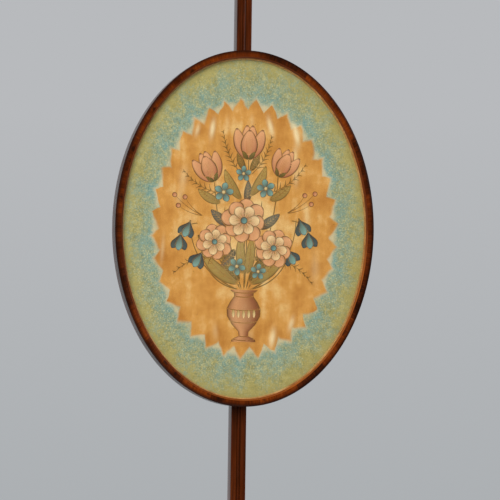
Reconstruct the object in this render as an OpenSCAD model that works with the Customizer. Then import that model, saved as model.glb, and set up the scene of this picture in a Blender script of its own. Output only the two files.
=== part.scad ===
// Pole screen: an oval glazed panel of painted silk that slides on a square pole above a tripod stand.
// Millimetres. +Z is up, the floor is z = 0, the silk faces -Y, and the feet stand centred about the origin.

/* [Oval frame] */
// Height of the oval frame over its outer edge
oval_h = 372; // [300:1:460]
// Width of the oval frame over its outer edge
oval_w = 276; // [220:1:360]
// Distance from the pole's top down to the oval's top edge
oval_drop = 140; // [60:5:500]
// Thickness of the bent hoop, measured across its front
hoop_wall = 6.2; // [5:0.1:12]
// Thickness of the crossbanded veneer on the hoop's front
banding_t = 1.2; // [0.6:0.1:1.5]
// Width of the glazing bead seen inside the hoop
bead_w = 1.8; // [1:0.1:5]
// Depth of the glazing bead, from the frame's front to the glass
bead_depth = 3; // [2:0.1:8]

/* [Panel] */
// Thickness of the glass
glass_t = 2; // [1.5:0.1:4]
// Depth of the fillet that holds the glass off the silk
spacer_depth = 2; // [1:0.1:8]
// Width of that fillet
spacer_w = 2.8; // [1:0.1:8]
// Thickness of the silk
silk_t = 0.4; // [0.2:0.1:1]
// Thickness of the oval strainer that the silk is pasted to
strainer_t = 4.4; // [2:0.1:8]
// Width of the strainer's rim and of its cross rail
strainer_w = 15; // [10:1:40]
// Thickness of the backboard
backboard_t = 3.2; // [2:0.1:6]
// Room left round the glass and the boards inside the hoop
panel_gap = 0.3; // [0.1:0.05:1]
// Number of brads that hold the backboard at each side
side_brads = 7; // [3:1:12]
// Thickness of a brad
brad_d = 1.3; // [1:0.1:2]
// Length of a brad
brad_len = 9; // [6:0.5:12]

/* [Batten and straps] */
// Wood left on the batten beside each strap flange
batten_margin = 1; // [0.5:0.5:15]
// Thickness of the batten
batten_t = 6; // [5:0.1:12]
// How far the batten stands out behind the hoop
batten_proud = 1; // [0.5:0.1:3]
// How far the batten's ends stop short of the hoop's outer edge
batten_inset = 1; // [0.5:0.1:3]
// Screws at the batten's ends: thickness of the shank
batten_screw_d = 2.2; // [1.5:0.1:2.6]
// Screws at the batten's ends: length
batten_screw_len = 14; // [8:0.5:16]
// Screws at the batten's ends: distance from the batten's middle
batten_screw_x = 13; // [8:1:18]
// Height of the straps above and below the oval's centre
strap_z = 120; // [60:1:150]
// Height of a strap
strap_h = 16; // [10:1:30]
// Thickness of the strap brass
strap_t = 1.6; // [1:0.1:3]
// Width of each strap flange
strap_flange = 11; // [9:0.5:18]
// Strap screws: thickness of the shank
strap_screw_d = 2.6; // [2:0.1:4]
// Strap screws: length
strap_screw_len = 6.5; // [4:0.5:7]

/* [Clamp] */
// Diameter of the thumbscrew's shank
thumb_d = 5; // [4:0.1:8]
// Travel of the shoe as the thumbscrew is backed off
clamp_travel = 2; // [1:0.1:4]
// Side of the square shoe
shoe_side = 12; // [8:0.5:15]
// Thickness of the shoe
shoe_t = 2.2; // [2:0.1:4]
// Diameter of the boss that the thumbscrew runs in
boss_d = 12; // [10:0.5:16]
// Length of the boss
boss_len = 6; // [4:0.5:12]
// Diameter of the thumbscrew's flat head
thumb_head_d = 17; // [12:0.5:24]
// Thickness of the thumbscrew's flat head
thumb_head_t = 3.6; // [3:0.1:6]
// Diameter of the collar under the thumbscrew's head
thumb_collar_d = 8.5; // [6:0.1:12]
// Length of that collar
thumb_collar_len = 3; // [2:0.1:6]

/* [Pole] */
// Side of the square pole
pole_side = 16; // [14:0.5:24]
// Length of the pole from the pillar to its top
pole_len = 1120; // [900:5:1300]
// Width of the reed down the middle of the pole's front
reed_w = 3; // [2:0.1:5]
// Width and depth of the quirk at each side of the reed
quirk = 0.8; // [0.4:0.1:1.2]
// Easing of the pole's corners
pole_arris = 0.7; // [0.3:0.1:2]
// Diameter of the tenon at the pole's foot
tenon_d = 13; // [10:0.5:14]
// Length of the tenon
tenon_len = 60; // [30:1:80]
// Diameter of the peg through pillar and tenon
peg_d = 4; // [3:0.1:6]

/* [Finial] */
// Height of the urn finial above the pole
finial_h = 64; // [40:1:110]
// Largest diameter of the urn
finial_d = 27; // [20:0.5:40]
// How far the finial's foot stands out past the pole's faces
finial_lip = 1.5; // [0.5:0.1:4]
// Diameter of the finial's dowel
dowel_d = 6; // [4:0.5:9]
// Length of the finial's dowel
dowel_len = 26; // [15:1:50]

/* [Stand] */
// Height of the pillar's underside above the floor
base_z = 98; // [80:1:140]
// Radius of the drum that the legs join
drum_r = 27; // [24:0.5:40]
// Height of the drum above the legs
drum_margin = 4; // [2:0.5:20]
// Height of the turned vase above the drum
vase_h = 114; // [90:1:160]
// Largest radius of the vase
vase_r = 24; // [18:0.5:36]
// How far the cap under the pole stands out past the pole's corners
cap_margin = 3.7; // [2:0.1:8]
// Height of that cap
cap_h = 9; // [8:0.5:16]
// Radius of the turned ring round the vase's foot and of the one under the cap
ring_r = 2; // [1.5:0.1:2.5]
// Bevel of the drum's edges
drum_bevel = 1.5; // [0.5:0.1:3]
// Distance from the pole's axis to the middle of each foot
leg_reach = 205; // [160:1:280]
// Height of a leg where it joins the drum
leg_root_h = 42; // [30:1:46]
// Width of a leg where it joins the drum
leg_root_w = 20; // [16:0.5:24]
// Thickness of a leg at its ankle
ankle_w = 13; // [10:0.5:20]
// Height of the spade foot
spade_h = 34; // [20:1:60]
// Largest width of the spade foot
spade_w = 20; // [14:0.5:30]
// Height of the slope from the ankle out to the spade foot
spade_slope = 4; // [2:0.5:10]
// Width of the spade foot on the floor
spade_tip = 14; // [10:0.5:24]
// Depth of the dovetail that holds a leg in the drum
dovetail_depth = 11; // [8:0.5:14]
// Width of the dovetail at the drum's face
dovetail_neck = 10; // [8:0.5:14]
// Width of the dovetail at its inner end
dovetail_wide = 14; // [11:0.5:18]
// Shoulder of the leg left above the dovetail
dovetail_shoulder = 3; // [1:0.5:10]
// Thickness of the iron plate under the pillar
plate_t = 1.6; // [1:0.1:3]
// Reach of the plate's arms from the pole's axis
plate_reach = 50; // [40:1:70]
// Width of the plate's arms
plate_w = 12; // [8:0.5:16]
// Plate screws: thickness of the shank
plate_screw_d = 3; // [2:0.1:4]
// Plate screws: length
plate_screw_len = 16; // [8:0.5:30]

/* [Fits] */
// Running gap between the pole and what slides on it
slide_gap = 0.3; // [0.1:0.05:0.6]
// Gap round a screw, peg or dowel in its hole
hole_gap = 0.1; // [0.05:0.05:0.3]
// Gap round a glued joint in the wood
joint_gap = 0.15; // [0.05:0.05:0.4]

/* [Hidden] */
$fn = 96;
// Straight sides that make up the oval
oval_sides = 120;
// Reach of the brads up and down each side, in degrees from level
brad_spread = 68;
// How far a cut runs past what it cuts, and how far two shapes of one piece run into each other
over = 1;

// Heights of the stand, the pole and the oval's centre
leg_root_top = base_z + leg_root_h;
drum_top = leg_root_top + drum_margin;
pillar_top = drum_top + vase_h + cap_h;
pole_top = pillar_top + pole_len;
oval_z = pole_top - oval_drop - oval_h / 2;
peg_z = pillar_top - tenon_len * 0.72;
tongue_top = leg_root_top - dovetail_shoulder;
cap_r = pole_side / sqrt(2) + cap_margin;

// Depths along Y, worked forward from the pole: batten, backboard, strainer, silk, fillet, glass, bead
batten_back_y = -(pole_side / 2 + slide_gap);
batten_front_y = batten_back_y - batten_t;
backboard_front_y = batten_front_y - backboard_t;
strainer_front_y = backboard_front_y - strainer_t;
silk_front_y = strainer_front_y - silk_t;
glass_back_y = silk_front_y - spacer_depth;
glass_front_y = glass_back_y - glass_t;
frame_front_y = glass_front_y - bead_depth;
hoop_front_y = frame_front_y + banding_t;
hoop_back_y = batten_back_y - batten_proud;

// Insets from the oval's outer edge
bead_inner = hoop_wall + bead_w;
panel_inset = hoop_wall + panel_gap;

// Straps and clamp along X, Y and Z
strap_in_x = pole_side / 2 + slide_gap;
strap_out_x = strap_in_x + strap_t;
strap_reach_x = strap_out_x + strap_flange;
strap_screw_x = strap_out_x + strap_flange / 2;
batten_w = 2 * (strap_reach_x + batten_margin);
guide_in_y = pole_side / 2 + slide_gap;
shoe_front_y = pole_side / 2 + hole_gap;
shoe_back_y = shoe_front_y + shoe_t;
clamp_in_y = shoe_back_y + clamp_travel + slide_gap;
clamp_out_y = clamp_in_y + strap_t;
boss_back_y = clamp_out_y + boss_len;
collar_front_y = boss_back_y + slide_gap;
head_mid_y = collar_front_y + thumb_collar_len + thumb_head_d / 2 - over;
clamp_strap_z = oval_z + strap_z;
guide_strap_z = oval_z - strap_z;
socket_depth = shoe_t * 0.55;
tip_d = thumb_d * 0.65;

// The pole's axis, set forward so that the feet stand centred about the origin
toe = leg_reach + spade_w / 2;
axis_y = -(toe - toe * sin(30) - spade_w / 2 * cos(30)) / 2;

// The way each leg points, in degrees from +X
rear_turn = 90;
left_turn = 210;
right_turn = 330;
leg_turns = [rear_turn, left_turn, right_turn];

// Colours
mahogany = [0.30, 0.13, 0.05];
dark_mahogany = [0.22, 0.09, 0.04];
banding_brown = [0.40, 0.17, 0.06];
boxwood = [0.72, 0.50, 0.26];
pine = [0.68, 0.54, 0.36];
silk_ochre = [0.80, 0.60, 0.36];
brass = [0.75, 0.58, 0.27];
iron = [0.25, 0.24, 0.23];
clear_glass = [0.85, 0.90, 0.90, 0.25];

// Puts the part, drawn about the pole's axis, in its place
module place() {
    translate([0, axis_y, 0])
        children();
}

// Points from a to d on a cubic curve pulled towards b and c
function curve(a, b, c, d, steps = 24) =
    [for (i = [0:steps]) let (t = i / steps, s = 1 - t)
        s * s * s * a + 3 * s * s * t * b + 3 * s * t * t * c + t * t * t * d];

// Points on an arc about c, from angle a0 to a1
function arc(c, r, a0, a1, steps = 12) =
    [for (i = [0:steps]) let (a = a0 + (a1 - a0) * i / steps) c + r * [cos(a), sin(a)]];

// Height above the oval's centre of the oval inset by that much, at distance x from its middle
function oval_rise(x, inset) =
    let (a = oval_w / 2 - inset, b = oval_h / 2 - inset) b * sqrt(1 - x * x / (a * a));

// Points round the oval, inset from the frame's outer edge
function oval_points(inset) =
    let (a = oval_w / 2 - inset, b = oval_h / 2 - inset)
    [for (i = [0:oval_sides - 1]) let (t = 360 * i / oval_sides) [a * cos(t), b * sin(t)]];

// A solid oval plate: its edge is inset from the frame's outer edge, and it runs from y0 back to y1
module oval(inset, y0, y1) {
    translate([0, y1, oval_z])
        rotate([90, 0, 0])
            linear_extrude(height = y1 - y0)
                polygon(oval_points(inset));
}

// An oval ring between two insets
module oval_ring(outer, inner, y0, y1) {
    difference() {
        oval(outer, y0, y1);
        oval(inner, y0 - over, y1 + over);
    }
}

// A countersunk wood screw driven along -Z, its head flush with z = 0
module wood_screw(d, length) {
    head_r = d * 0.95;
    head_h = d * 0.55;
    difference() {
        union() {
            translate([0, 0, -head_h])
                cylinder(r1 = d / 2, r2 = head_r, h = head_h);
            translate([0, 0, -length])
                cylinder(d = d, h = length - head_h);
        }
        translate([-head_r - over, -d * 0.11, -head_h * 0.55])
            cube([2 * (head_r + over), d * 0.22, head_h]);
    }
}

// The hole for such a screw, open above z = 0
module screw_hole(d, length) {
    head_r = d * 0.95 + hole_gap;
    head_h = d * 0.55;
    translate([0, 0, -head_h])
        cylinder(r1 = d / 2 + hole_gap, r2 = head_r, h = head_h);
    cylinder(r = head_r, h = 2 * over);
    translate([0, 0, -length - hole_gap])
        cylinder(r = d / 2 + hole_gap, h = length);
}

// Puts its children at each end screw of the batten, driven forwards from the batten's back
module at_batten_screws() {
    inset = (batten_inset + hoop_wall) / 2;
    for (side = [-1, 1], end = [-1, 1])
        translate([side * batten_screw_x, batten_back_y, oval_z + end * oval_rise(batten_screw_x, inset)])
            rotate([-90, 0, 0])
                children();
}

// Puts its children at each strap screw, driven forwards from the flanges' backs
module at_strap_screws() {
    for (side = [-1, 1], z = [clamp_strap_z, guide_strap_z])
        translate([side * strap_screw_x, batten_back_y + strap_t, z])
            rotate([-90, 0, 0])
                children();
}

// Puts its children at each plate screw, driven upwards from the plate's underside
module at_plate_screws() {
    for (turn = leg_turns)
        rotate([0, 0, turn])
            translate([plate_reach - plate_w / 2, 0, base_z - plate_t])
                rotate([180, 0, 0])
                    children();
}

// Puts its children at each brad, on the hoop's inside just behind the backboard, with +Z pointing outwards
module at_brads() {
    a = oval_w / 2 - hoop_wall;
    b = oval_h / 2 - hoop_wall;
    for (side = [-1, 1], i = [0:side_brads - 1]) {
        t = brad_spread * (2 * i / (side_brads - 1) - 1);
        translate([side * a * cos(t), batten_front_y + brad_d / 2 + hole_gap, oval_z + b * sin(t)])
            rotate([0, atan2(side * b * cos(t), a * sin(t)), 0])
                children();
    }
}

// Half outline of the turned pillar, from its underside up to the cap
function pillar_outline() =
    let (foot_r = drum_r - 2 * ring_r, foot_z = drum_top + 2 * ring_r, neck_r = cap_r - 1.5 * ring_r,
         neck_z = pillar_top - cap_h, low = foot_z + ring_r / 2, rise = neck_z - low)
    concat(
        [[0, base_z], [drum_r - drum_bevel, base_z], [drum_r, base_z + drum_bevel],
         [drum_r, drum_top - drum_bevel], [drum_r - drum_bevel, drum_top], [foot_r, drum_top]],
        arc([foot_r, drum_top + ring_r], ring_r, -90, 90, 10),
        [[foot_r - ring_r, foot_z]],
        curve([foot_r - 2.5 * ring_r, low], [vase_r * 1.12, low + rise * 0.16],
              [vase_r * 1.12, low + rise * 0.44], [neck_r * 1.25, low + rise * 0.65], 20),
        curve([neck_r * 1.15, low + rise * 0.68], [neck_r * 0.92, low + rise * 0.76],
              [neck_r * 0.92, low + rise * 0.93], [neck_r, neck_z], 14),
        arc([neck_r, neck_z + ring_r], ring_r, -90, 90, 10),
        [[cap_r - ring_r / 2, neck_z + 2 * ring_r], [cap_r, neck_z + 2.5 * ring_r],
         [cap_r, pillar_top - ring_r / 2], [cap_r - ring_r / 2, pillar_top], [0, pillar_top]]
    );

// Half outline of the urn finial, from its seat on the pole up to its tip
function finial_outline() =
    let (z = pole_top, r = finial_d / 2, h = finial_h, foot_r = pole_side / 2 + finial_lip, edge = h * 0.035)
    concat(
        [[0, z], [foot_r - edge, z]],
        arc([foot_r - edge, z + edge], edge, -90, 90, 8),
        curve([foot_r * 0.72, z + h * 0.08], [r * 0.26, z + h * 0.13],
              [r * 0.26, z + h * 0.15], [r * 0.34, z + h * 0.19], 10),
        curve([r * 0.50, z + h * 0.20], [r * 1.02, z + h * 0.36],
              [r, z + h * 0.50], [r * 0.96, z + h * 0.58], 16),
        arc([r * 0.94, z + h * 0.60], r * 0.06, -80, 80, 8),
        curve([r * 0.84, z + h * 0.625], [r * 0.80, z + h * 0.74],
              [r * 0.30, z + h * 0.73], [r * 0.24, z + h * 0.83], 14),
        curve([r * 0.24, z + h * 0.84], [r * 0.46, z + h * 0.87],
              [r * 0.36, z + h * 0.98], [0, z + h], 12)
    );

// Side view of a leg as distance from the pole's axis against height, down to the foot
function leg_side() =
    let (out = leg_reach + ankle_w / 2, in = leg_reach - ankle_w / 2, knee = leg_reach * 0.62)
    concat(
        curve([0, leg_root_top], [knee, leg_root_top + leg_root_h * 0.28],
              [out, leg_root_top - leg_root_h * 0.75], [out, spade_h], 28),
        [[leg_reach + spade_w / 2, spade_h - spade_slope], [leg_reach + spade_tip / 2, 0],
         [leg_reach - spade_tip / 2, 0], [leg_reach - spade_w / 2, spade_h - spade_slope]],
        curve([in, spade_h], [in, base_z - leg_root_h * 0.30],
              [knee, base_z + leg_root_h * 0.26], [plate_reach + plate_w / 4, base_z], 28),
        [[0, base_z]]
    );

// Front view of a leg as half widths against height
function leg_front() =
    let (right = [[spade_tip / 2, 0], [spade_w / 2, spade_h - spade_slope], [ankle_w / 2, spade_h],
                  [leg_root_w / 2, base_z], [leg_root_w / 2, leg_root_top + leg_root_h]])
    concat(right, [for (i = [len(right) - 1:-1:0]) [-right[i][0], right[i][1]]]);

// Plan of a leg's dovetail, or of its housing when grown by gap
module dovetail(gap) {
    inner = drum_r - dovetail_depth - gap;
    polygon([[inner, -dovetail_wide / 2 - gap], [inner, dovetail_wide / 2 + gap],
             [drum_r + over, dovetail_neck / 2 + gap], [drum_r + over, -dovetail_neck / 2 - gap]]);
}

// A leg pointing along +X
module leg_blank() {
    difference() {
        intersection() {
            rotate([90, 0, 0])
                linear_extrude(height = 2 * leg_root_w, center = true)
                    polygon(leg_side());
            rotate([90, 0, 90])
                linear_extrude(height = leg_reach + spade_w)
                    polygon(leg_front());
        }
        translate([0, 0, base_z - over])
            cylinder(r = drum_r + joint_gap, h = 3 * leg_root_h);
    }
    translate([0, 0, base_z])
        linear_extrude(height = tongue_top - base_z)
            dovetail(0);
}

module leg(turn) {
    color(mahogany)
        difference() {
            rotate([0, 0, turn])
                leg_blank();
            at_plate_screws()
                screw_hole(plate_screw_d, plate_screw_len);
        }
}

module pillar() {
    color(mahogany)
        difference() {
            rotate_extrude()
                polygon(pillar_outline());
            for (turn = leg_turns)
                rotate([0, 0, turn])
                    translate([0, 0, base_z - over])
                        linear_extrude(height = tongue_top - base_z + over + joint_gap)
                            dovetail(joint_gap);
            translate([0, 0, pillar_top - tenon_len - joint_gap])
                cylinder(r = tenon_d / 2 + hole_gap, h = tenon_len + joint_gap + over);
            peg_bore();
        }
}

// The hole for the peg, right through pillar and tenon
module peg_bore() {
    translate([-drum_r - vase_r, 0, peg_z])
        rotate([0, 90, 0])
            cylinder(r = peg_d / 2 + hole_gap, h = 2 * (drum_r + vase_r));
}

module pole_peg() {
    color(dark_mahogany)
        intersection() {
            rotate_extrude()
                polygon(pillar_outline());
            translate([-drum_r - vase_r, 0, peg_z])
                rotate([0, 90, 0])
                    cylinder(d = peg_d, h = 2 * (drum_r + vase_r));
        }
}

module spider_plate() {
    color(iron)
        difference() {
            translate([0, 0, base_z - plate_t])
                linear_extrude(height = plate_t)
                    union() {
                        circle(r = drum_r * 0.7);
                        for (turn = leg_turns)
                            rotate([0, 0, turn])
                                translate([0, -plate_w / 2])
                                    square([plate_reach, plate_w]);
                    }
            at_plate_screws()
                screw_hole(plate_screw_d, plate_screw_len);
        }
}

module spider_screws() {
    color(iron)
        at_plate_screws()
            wood_screw(plate_screw_d, plate_screw_len);
}

// Section of the pole, with the reed in the middle of its front
module pole_section() {
    h = pole_side / 2;
    half = reed_w / 2;
    crown_r = (half * half + quirk * quirk) / (2 * quirk);
    sweep = asin(half / crown_r);
    polygon(concat(
        [[h, -h + pole_arris], [h, h - pole_arris], [h - pole_arris, h], [-h + pole_arris, h],
         [-h, h - pole_arris], [-h, -h + pole_arris], [-h + pole_arris, -h], [-half - quirk, -h]],
        arc([0, -h + crown_r], crown_r, -90 - sweep, -90 + sweep, 12),
        [[half + quirk, -h], [h - pole_arris, -h]]
    ));
}

module pole() {
    color(dark_mahogany)
        difference() {
            union() {
                translate([0, 0, pillar_top])
                    linear_extrude(height = pole_len)
                        pole_section();
                translate([0, 0, pillar_top - tenon_len])
                    cylinder(d = tenon_d, h = tenon_len + over);
            }
            peg_bore();
            translate([0, 0, pole_top - dowel_len - joint_gap])
                cylinder(r = dowel_d / 2 + hole_gap, h = dowel_len + joint_gap + over);
        }
}

module finial() {
    color(mahogany) {
        rotate_extrude()
            polygon(finial_outline());
        translate([0, 0, pole_top - dowel_len])
            cylinder(d = dowel_d, h = dowel_len + over);
    }
}

module hoop() {
    color(mahogany)
        difference() {
            oval_ring(0, hoop_wall, hoop_front_y, hoop_back_y);
            translate([-batten_w / 2 - joint_gap, batten_front_y - joint_gap, oval_z - oval_h])
                cube([batten_w + 2 * joint_gap, batten_t + batten_proud, 2 * oval_h]);
            at_batten_screws()
                screw_hole(batten_screw_d, batten_screw_len);
            at_brads()
                translate([0, 0, -brad_len / 2])
                    cylinder(r = brad_d / 2 + hole_gap, h = brad_len + hole_gap);
        }
}

module crossbanding() {
    color(banding_brown)
        oval_ring(0, hoop_wall, frame_front_y, hoop_front_y);
}

module glazing_bead() {
    color(mahogany)
        oval_ring(hoop_wall, bead_inner, frame_front_y, glass_front_y);
}

module glass() {
    color(clear_glass)
        oval(panel_inset, glass_front_y, glass_back_y);
}

module spacer_fillet() {
    color(boxwood)
        oval_ring(panel_inset, panel_inset + spacer_w, glass_back_y, silk_front_y);
}

module silk() {
    color(silk_ochre)
        oval(panel_inset, silk_front_y, strainer_front_y);
}

module strainer() {
    color(pine) {
        oval_ring(panel_inset, panel_inset + strainer_w, strainer_front_y, backboard_front_y);
        translate([-oval_w / 2 + panel_inset + strainer_w / 2, strainer_front_y, oval_z - strainer_w / 2])
            cube([oval_w - 2 * panel_inset - strainer_w, strainer_t, strainer_w]);
    }
}

module backboard() {
    color(pine)
        oval(panel_inset, backboard_front_y, batten_front_y);
}

module backboard_brads() {
    color(iron)
        at_brads()
            translate([0, 0, -brad_len / 2])
                cylinder(d = brad_d, h = brad_len);
}

module batten() {
    color(mahogany)
        difference() {
            intersection() {
                translate([-batten_w / 2, batten_front_y, oval_z - oval_h])
                    cube([batten_w, batten_t, 2 * oval_h]);
                oval(batten_inset, batten_front_y - over, batten_back_y + over);
            }
            at_batten_screws()
                screw_hole(batten_screw_d, batten_screw_len);
            at_strap_screws()
                screw_hole(strap_screw_d, strap_screw_len);
        }
}

module batten_screws() {
    color(brass)
        at_batten_screws()
            wood_screw(batten_screw_d, batten_screw_len);
}

// A brass strap folded round the pole, with a screwed flange at each side; y_in is the inside of its bend
module strap(z, y_in) {
    y_out = y_in + strap_t;
    y_face = batten_back_y + strap_t;
    translate([0, 0, z - strap_h / 2])
        linear_extrude(height = strap_h)
            polygon([
                [-strap_reach_x, batten_back_y], [-strap_in_x, batten_back_y], [-strap_in_x, y_in],
                [strap_in_x, y_in], [strap_in_x, batten_back_y], [strap_reach_x, batten_back_y],
                [strap_reach_x, y_face], [strap_out_x, y_face], [strap_out_x, y_in], [strap_in_x, y_out],
                [-strap_in_x, y_out], [-strap_out_x, y_in], [-strap_out_x, y_face], [-strap_reach_x, y_face]
            ]);
}

module guide_strap() {
    color(brass)
        difference() {
            strap(guide_strap_z, guide_in_y);
            at_strap_screws()
                screw_hole(strap_screw_d, strap_screw_len);
        }
}

// The way for the thumbscrew's shank through strap and boss
module thumb_bore() {
    translate([0, shoe_back_y, clamp_strap_z])
        rotate([-90, 0, 0])
            cylinder(r = thumb_d / 2 + hole_gap, h = boss_back_y - shoe_back_y + over);
}

module clamp_strap() {
    color(brass)
        difference() {
            strap(clamp_strap_z, clamp_in_y);
            at_strap_screws()
                screw_hole(strap_screw_d, strap_screw_len);
            thumb_bore();
        }
}

module clamp_boss() {
    color(brass)
        difference() {
            translate([0, clamp_out_y, clamp_strap_z])
                rotate([-90, 0, 0])
                    cylinder(d1 = boss_d, d2 = boss_d * 0.85, h = boss_len);
            thumb_bore();
        }
}

module strap_screws() {
    color(brass)
        at_strap_screws()
            wood_screw(strap_screw_d, strap_screw_len);
}

module clamp_shoe() {
    color(brass)
        difference() {
            translate([-shoe_side / 2, shoe_front_y, clamp_strap_z - shoe_side / 2])
                cube([shoe_side, shoe_t, shoe_side]);
            translate([0, shoe_back_y - socket_depth, clamp_strap_z])
                rotate([-90, 0, 0])
                    cylinder(r = tip_d / 2 + hole_gap, h = socket_depth + over);
        }
}

// The thumbscrew: tip, shank, collar and a flat round head standing on edge
module thumbscrew() {
    tip_y = shoe_back_y - socket_depth + hole_gap;
    shank_y = shoe_back_y + hole_gap;
    color(brass)
        translate([0, 0, clamp_strap_z]) {
            translate([0, tip_y, 0])
                rotate([-90, 0, 0])
                    cylinder(d = tip_d, h = shank_y - tip_y + over);
            translate([0, shank_y, 0])
                rotate([-90, 0, 0])
                    cylinder(d = thumb_d, h = collar_front_y - shank_y + over);
            translate([0, collar_front_y, 0])
                rotate([-90, 0, 0])
                    cylinder(d = thumb_collar_d, h = thumb_collar_len);
            translate([-thumb_head_t / 2, head_mid_y, 0])
                rotate([0, 90, 0])
                    cylinder(d = thumb_head_d, h = thumb_head_t);
        }
}

place() pillar();
place() leg(left_turn);  // leg_front_left
place() leg(right_turn);  // leg_front_right
place() leg(rear_turn);  // leg_rear
place() spider_plate();
place() spider_screws();
place() pole();
place() pole_peg();
place() finial();
place() hoop();
place() crossbanding();
place() glazing_bead();
place() glass();
place() spacer_fillet();
place() silk();
place() strainer();
place() backboard();
place() backboard_brads();
place() batten();
place() batten_screws();
place() clamp_strap();
place() guide_strap();
place() strap_screws();
place() clamp_boss();
place() clamp_shoe();
place() thumbscrew();
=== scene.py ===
import functools
import bmesh
import bpy
import numpy as np
from mathutils import Matrix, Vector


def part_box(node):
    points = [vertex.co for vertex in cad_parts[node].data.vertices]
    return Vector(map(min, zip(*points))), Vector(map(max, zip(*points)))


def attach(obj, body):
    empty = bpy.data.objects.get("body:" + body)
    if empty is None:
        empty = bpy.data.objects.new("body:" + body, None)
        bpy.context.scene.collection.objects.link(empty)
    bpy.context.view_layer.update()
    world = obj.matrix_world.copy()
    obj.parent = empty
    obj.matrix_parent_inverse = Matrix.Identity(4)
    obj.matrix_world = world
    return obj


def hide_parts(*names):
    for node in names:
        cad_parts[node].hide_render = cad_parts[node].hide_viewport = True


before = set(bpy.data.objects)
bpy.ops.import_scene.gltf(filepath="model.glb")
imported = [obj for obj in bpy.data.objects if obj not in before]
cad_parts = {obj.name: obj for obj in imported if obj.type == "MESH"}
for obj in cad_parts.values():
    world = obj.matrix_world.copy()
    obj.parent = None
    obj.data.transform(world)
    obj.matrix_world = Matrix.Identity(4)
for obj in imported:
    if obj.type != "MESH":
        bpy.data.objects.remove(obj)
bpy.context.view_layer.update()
mm = 0.001  # shapes are worked out in millimetres, meshes are in metres
print("frame loaded:", len(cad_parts), "nodes")


def span(node):  # lowest and highest corner of a node, in mm
    return np.array([corner[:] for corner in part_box(node)]) / mm


axisY = span("pole")[:, 1].mean()  # the pole's axis stands at x = 0 and this y
ovalLow, ovalHigh = span("hoop")
halfWide, halfHigh = (ovalHigh - ovalLow)[[0, 2]] / 2
ovalZ = (ovalLow + ovalHigh)[2] / 2


# Curves and grids

def around(sides):  # angles once round, the first one again at the end
    return np.linspace(0, 2 * np.pi, sides + 1)


def lengths(points):  # how far along a line each of its points lies
    return np.append(0, np.cumsum(np.linalg.norm(np.diff(points, axis=0), axis=1)))


def curve(a, b, c, d, steps):  # cubic from a to d, pulled towards b and c
    t = np.linspace(0, 1, steps + 1)[:, None]
    a, b, c, d = (np.array(point, float) for point in (a, b, c, d))
    return (1 - t) ** 3 * a + 3 * (1 - t) ** 2 * t * b + 3 * (1 - t) * t * t * c + t ** 3 * d


def arc(centre, radius, start, end, steps=10):  # circle arc from angle start to angle end
    angle = np.radians(np.linspace(start, end, steps + 1))
    return np.array(centre) + radius * np.stack([np.cos(angle), np.sin(angle)], -1)


def eased(points, radius, closed=True, steps=4):
    # each corner gives way to a parabola that leaves both sides one radius away, or sooner on a short side
    points = np.array(points, float)
    starts = []
    for other in (np.roll(points, 1, 0), np.roll(points, -1, 0)):
        side = other - points
        length = np.linalg.norm(side, axis=1, keepdims=True) + 1e-9
        starts.append(points + side / length * np.minimum(radius, 0.48 * length))
    t = np.linspace(0, 1, steps + 1)[:, None, None]
    bent = ((1 - t) ** 2 * starts[0] + 2 * t * (1 - t) * points + t * t * starts[1]).transpose(1, 0, 2)
    if closed:
        return bent.reshape(-1, 2)
    return np.concatenate([points[:1], bent[1:-1].reshape(-1, 2), points[-1:]])


def looped(points):  # a closed loop with its first point again at the end
    return np.concatenate([points, points[:1]])


def turned(outline, sides):  # an outline of distance and height swung round an upright axis
    angle = around(sides)
    distance, height = np.array(outline, float).T[:, :, None]
    return np.stack([distance * np.cos(angle), distance * np.sin(angle), height + 0 * angle], -1)


def capped(rings):  # a stack of rings closed at both ends by rows gathered into one point
    first, last = (np.broadcast_to(ring[:-1].mean(0), ring.shape)[None] for ring in (rings[0], rings[-1]))
    return np.concatenate([first, rings, last])


def onOval(inset, y, turn, share=1.0):  # point at an angle on the oval that lies inset from the rim
    x = share * (halfWide - inset) * np.cos(turn)
    z = ovalZ + share * (halfHigh - inset) * np.sin(turn)
    return np.stack(np.broadcast_arrays(x, y, z), -1)


def quads(rows, cols, first=0):  # corner numbers of a grid's faces
    corner = first + np.arange(rows * cols).reshape(rows, cols)
    return np.stack([corner[:-1, :-1], corner[1:, :-1], corner[1:, 1:], corner[:-1, 1:]], -1).reshape(-1, 4)


def markArris(mesh):
    # mean fall of the neighbours below a point's tangent plane: above 0 on an arris, below 0 in a crevice
    points, normals = np.empty((2, len(mesh.vertices) * 3), np.float32)
    mesh.vertices.foreach_get("co", points)
    mesh.vertex_normals.foreach_get("vector", normals)
    points, normals = points.reshape(-1, 3), normals.reshape(-1, 3)
    ends = np.empty(len(mesh.edges) * 2, np.int32)
    mesh.edges.foreach_get("vertices", ends)
    near, far = ends.reshape(-1, 2).T
    step = points[far] - points[near]
    step /= np.linalg.norm(step, axis=1, keepdims=True) + 1e-12
    fall, count = np.zeros((2, len(points)))
    for point, sign in ((near, -1), (far, 1)):
        np.add.at(fall, point, sign * (normals[point] * step).sum(1))
        np.add.at(count, point, 1)
    value = (fall / np.maximum(count, 1)).astype(np.float32)
    mesh.attributes.new("arris", "FLOAT", "POINT").data.foreach_set("value", value)


def placed(name, data):  # a new object in the scene
    thing = bpy.data.objects.new(name, data)
    bpy.context.scene.collection.objects.link(thing)
    return thing


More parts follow.
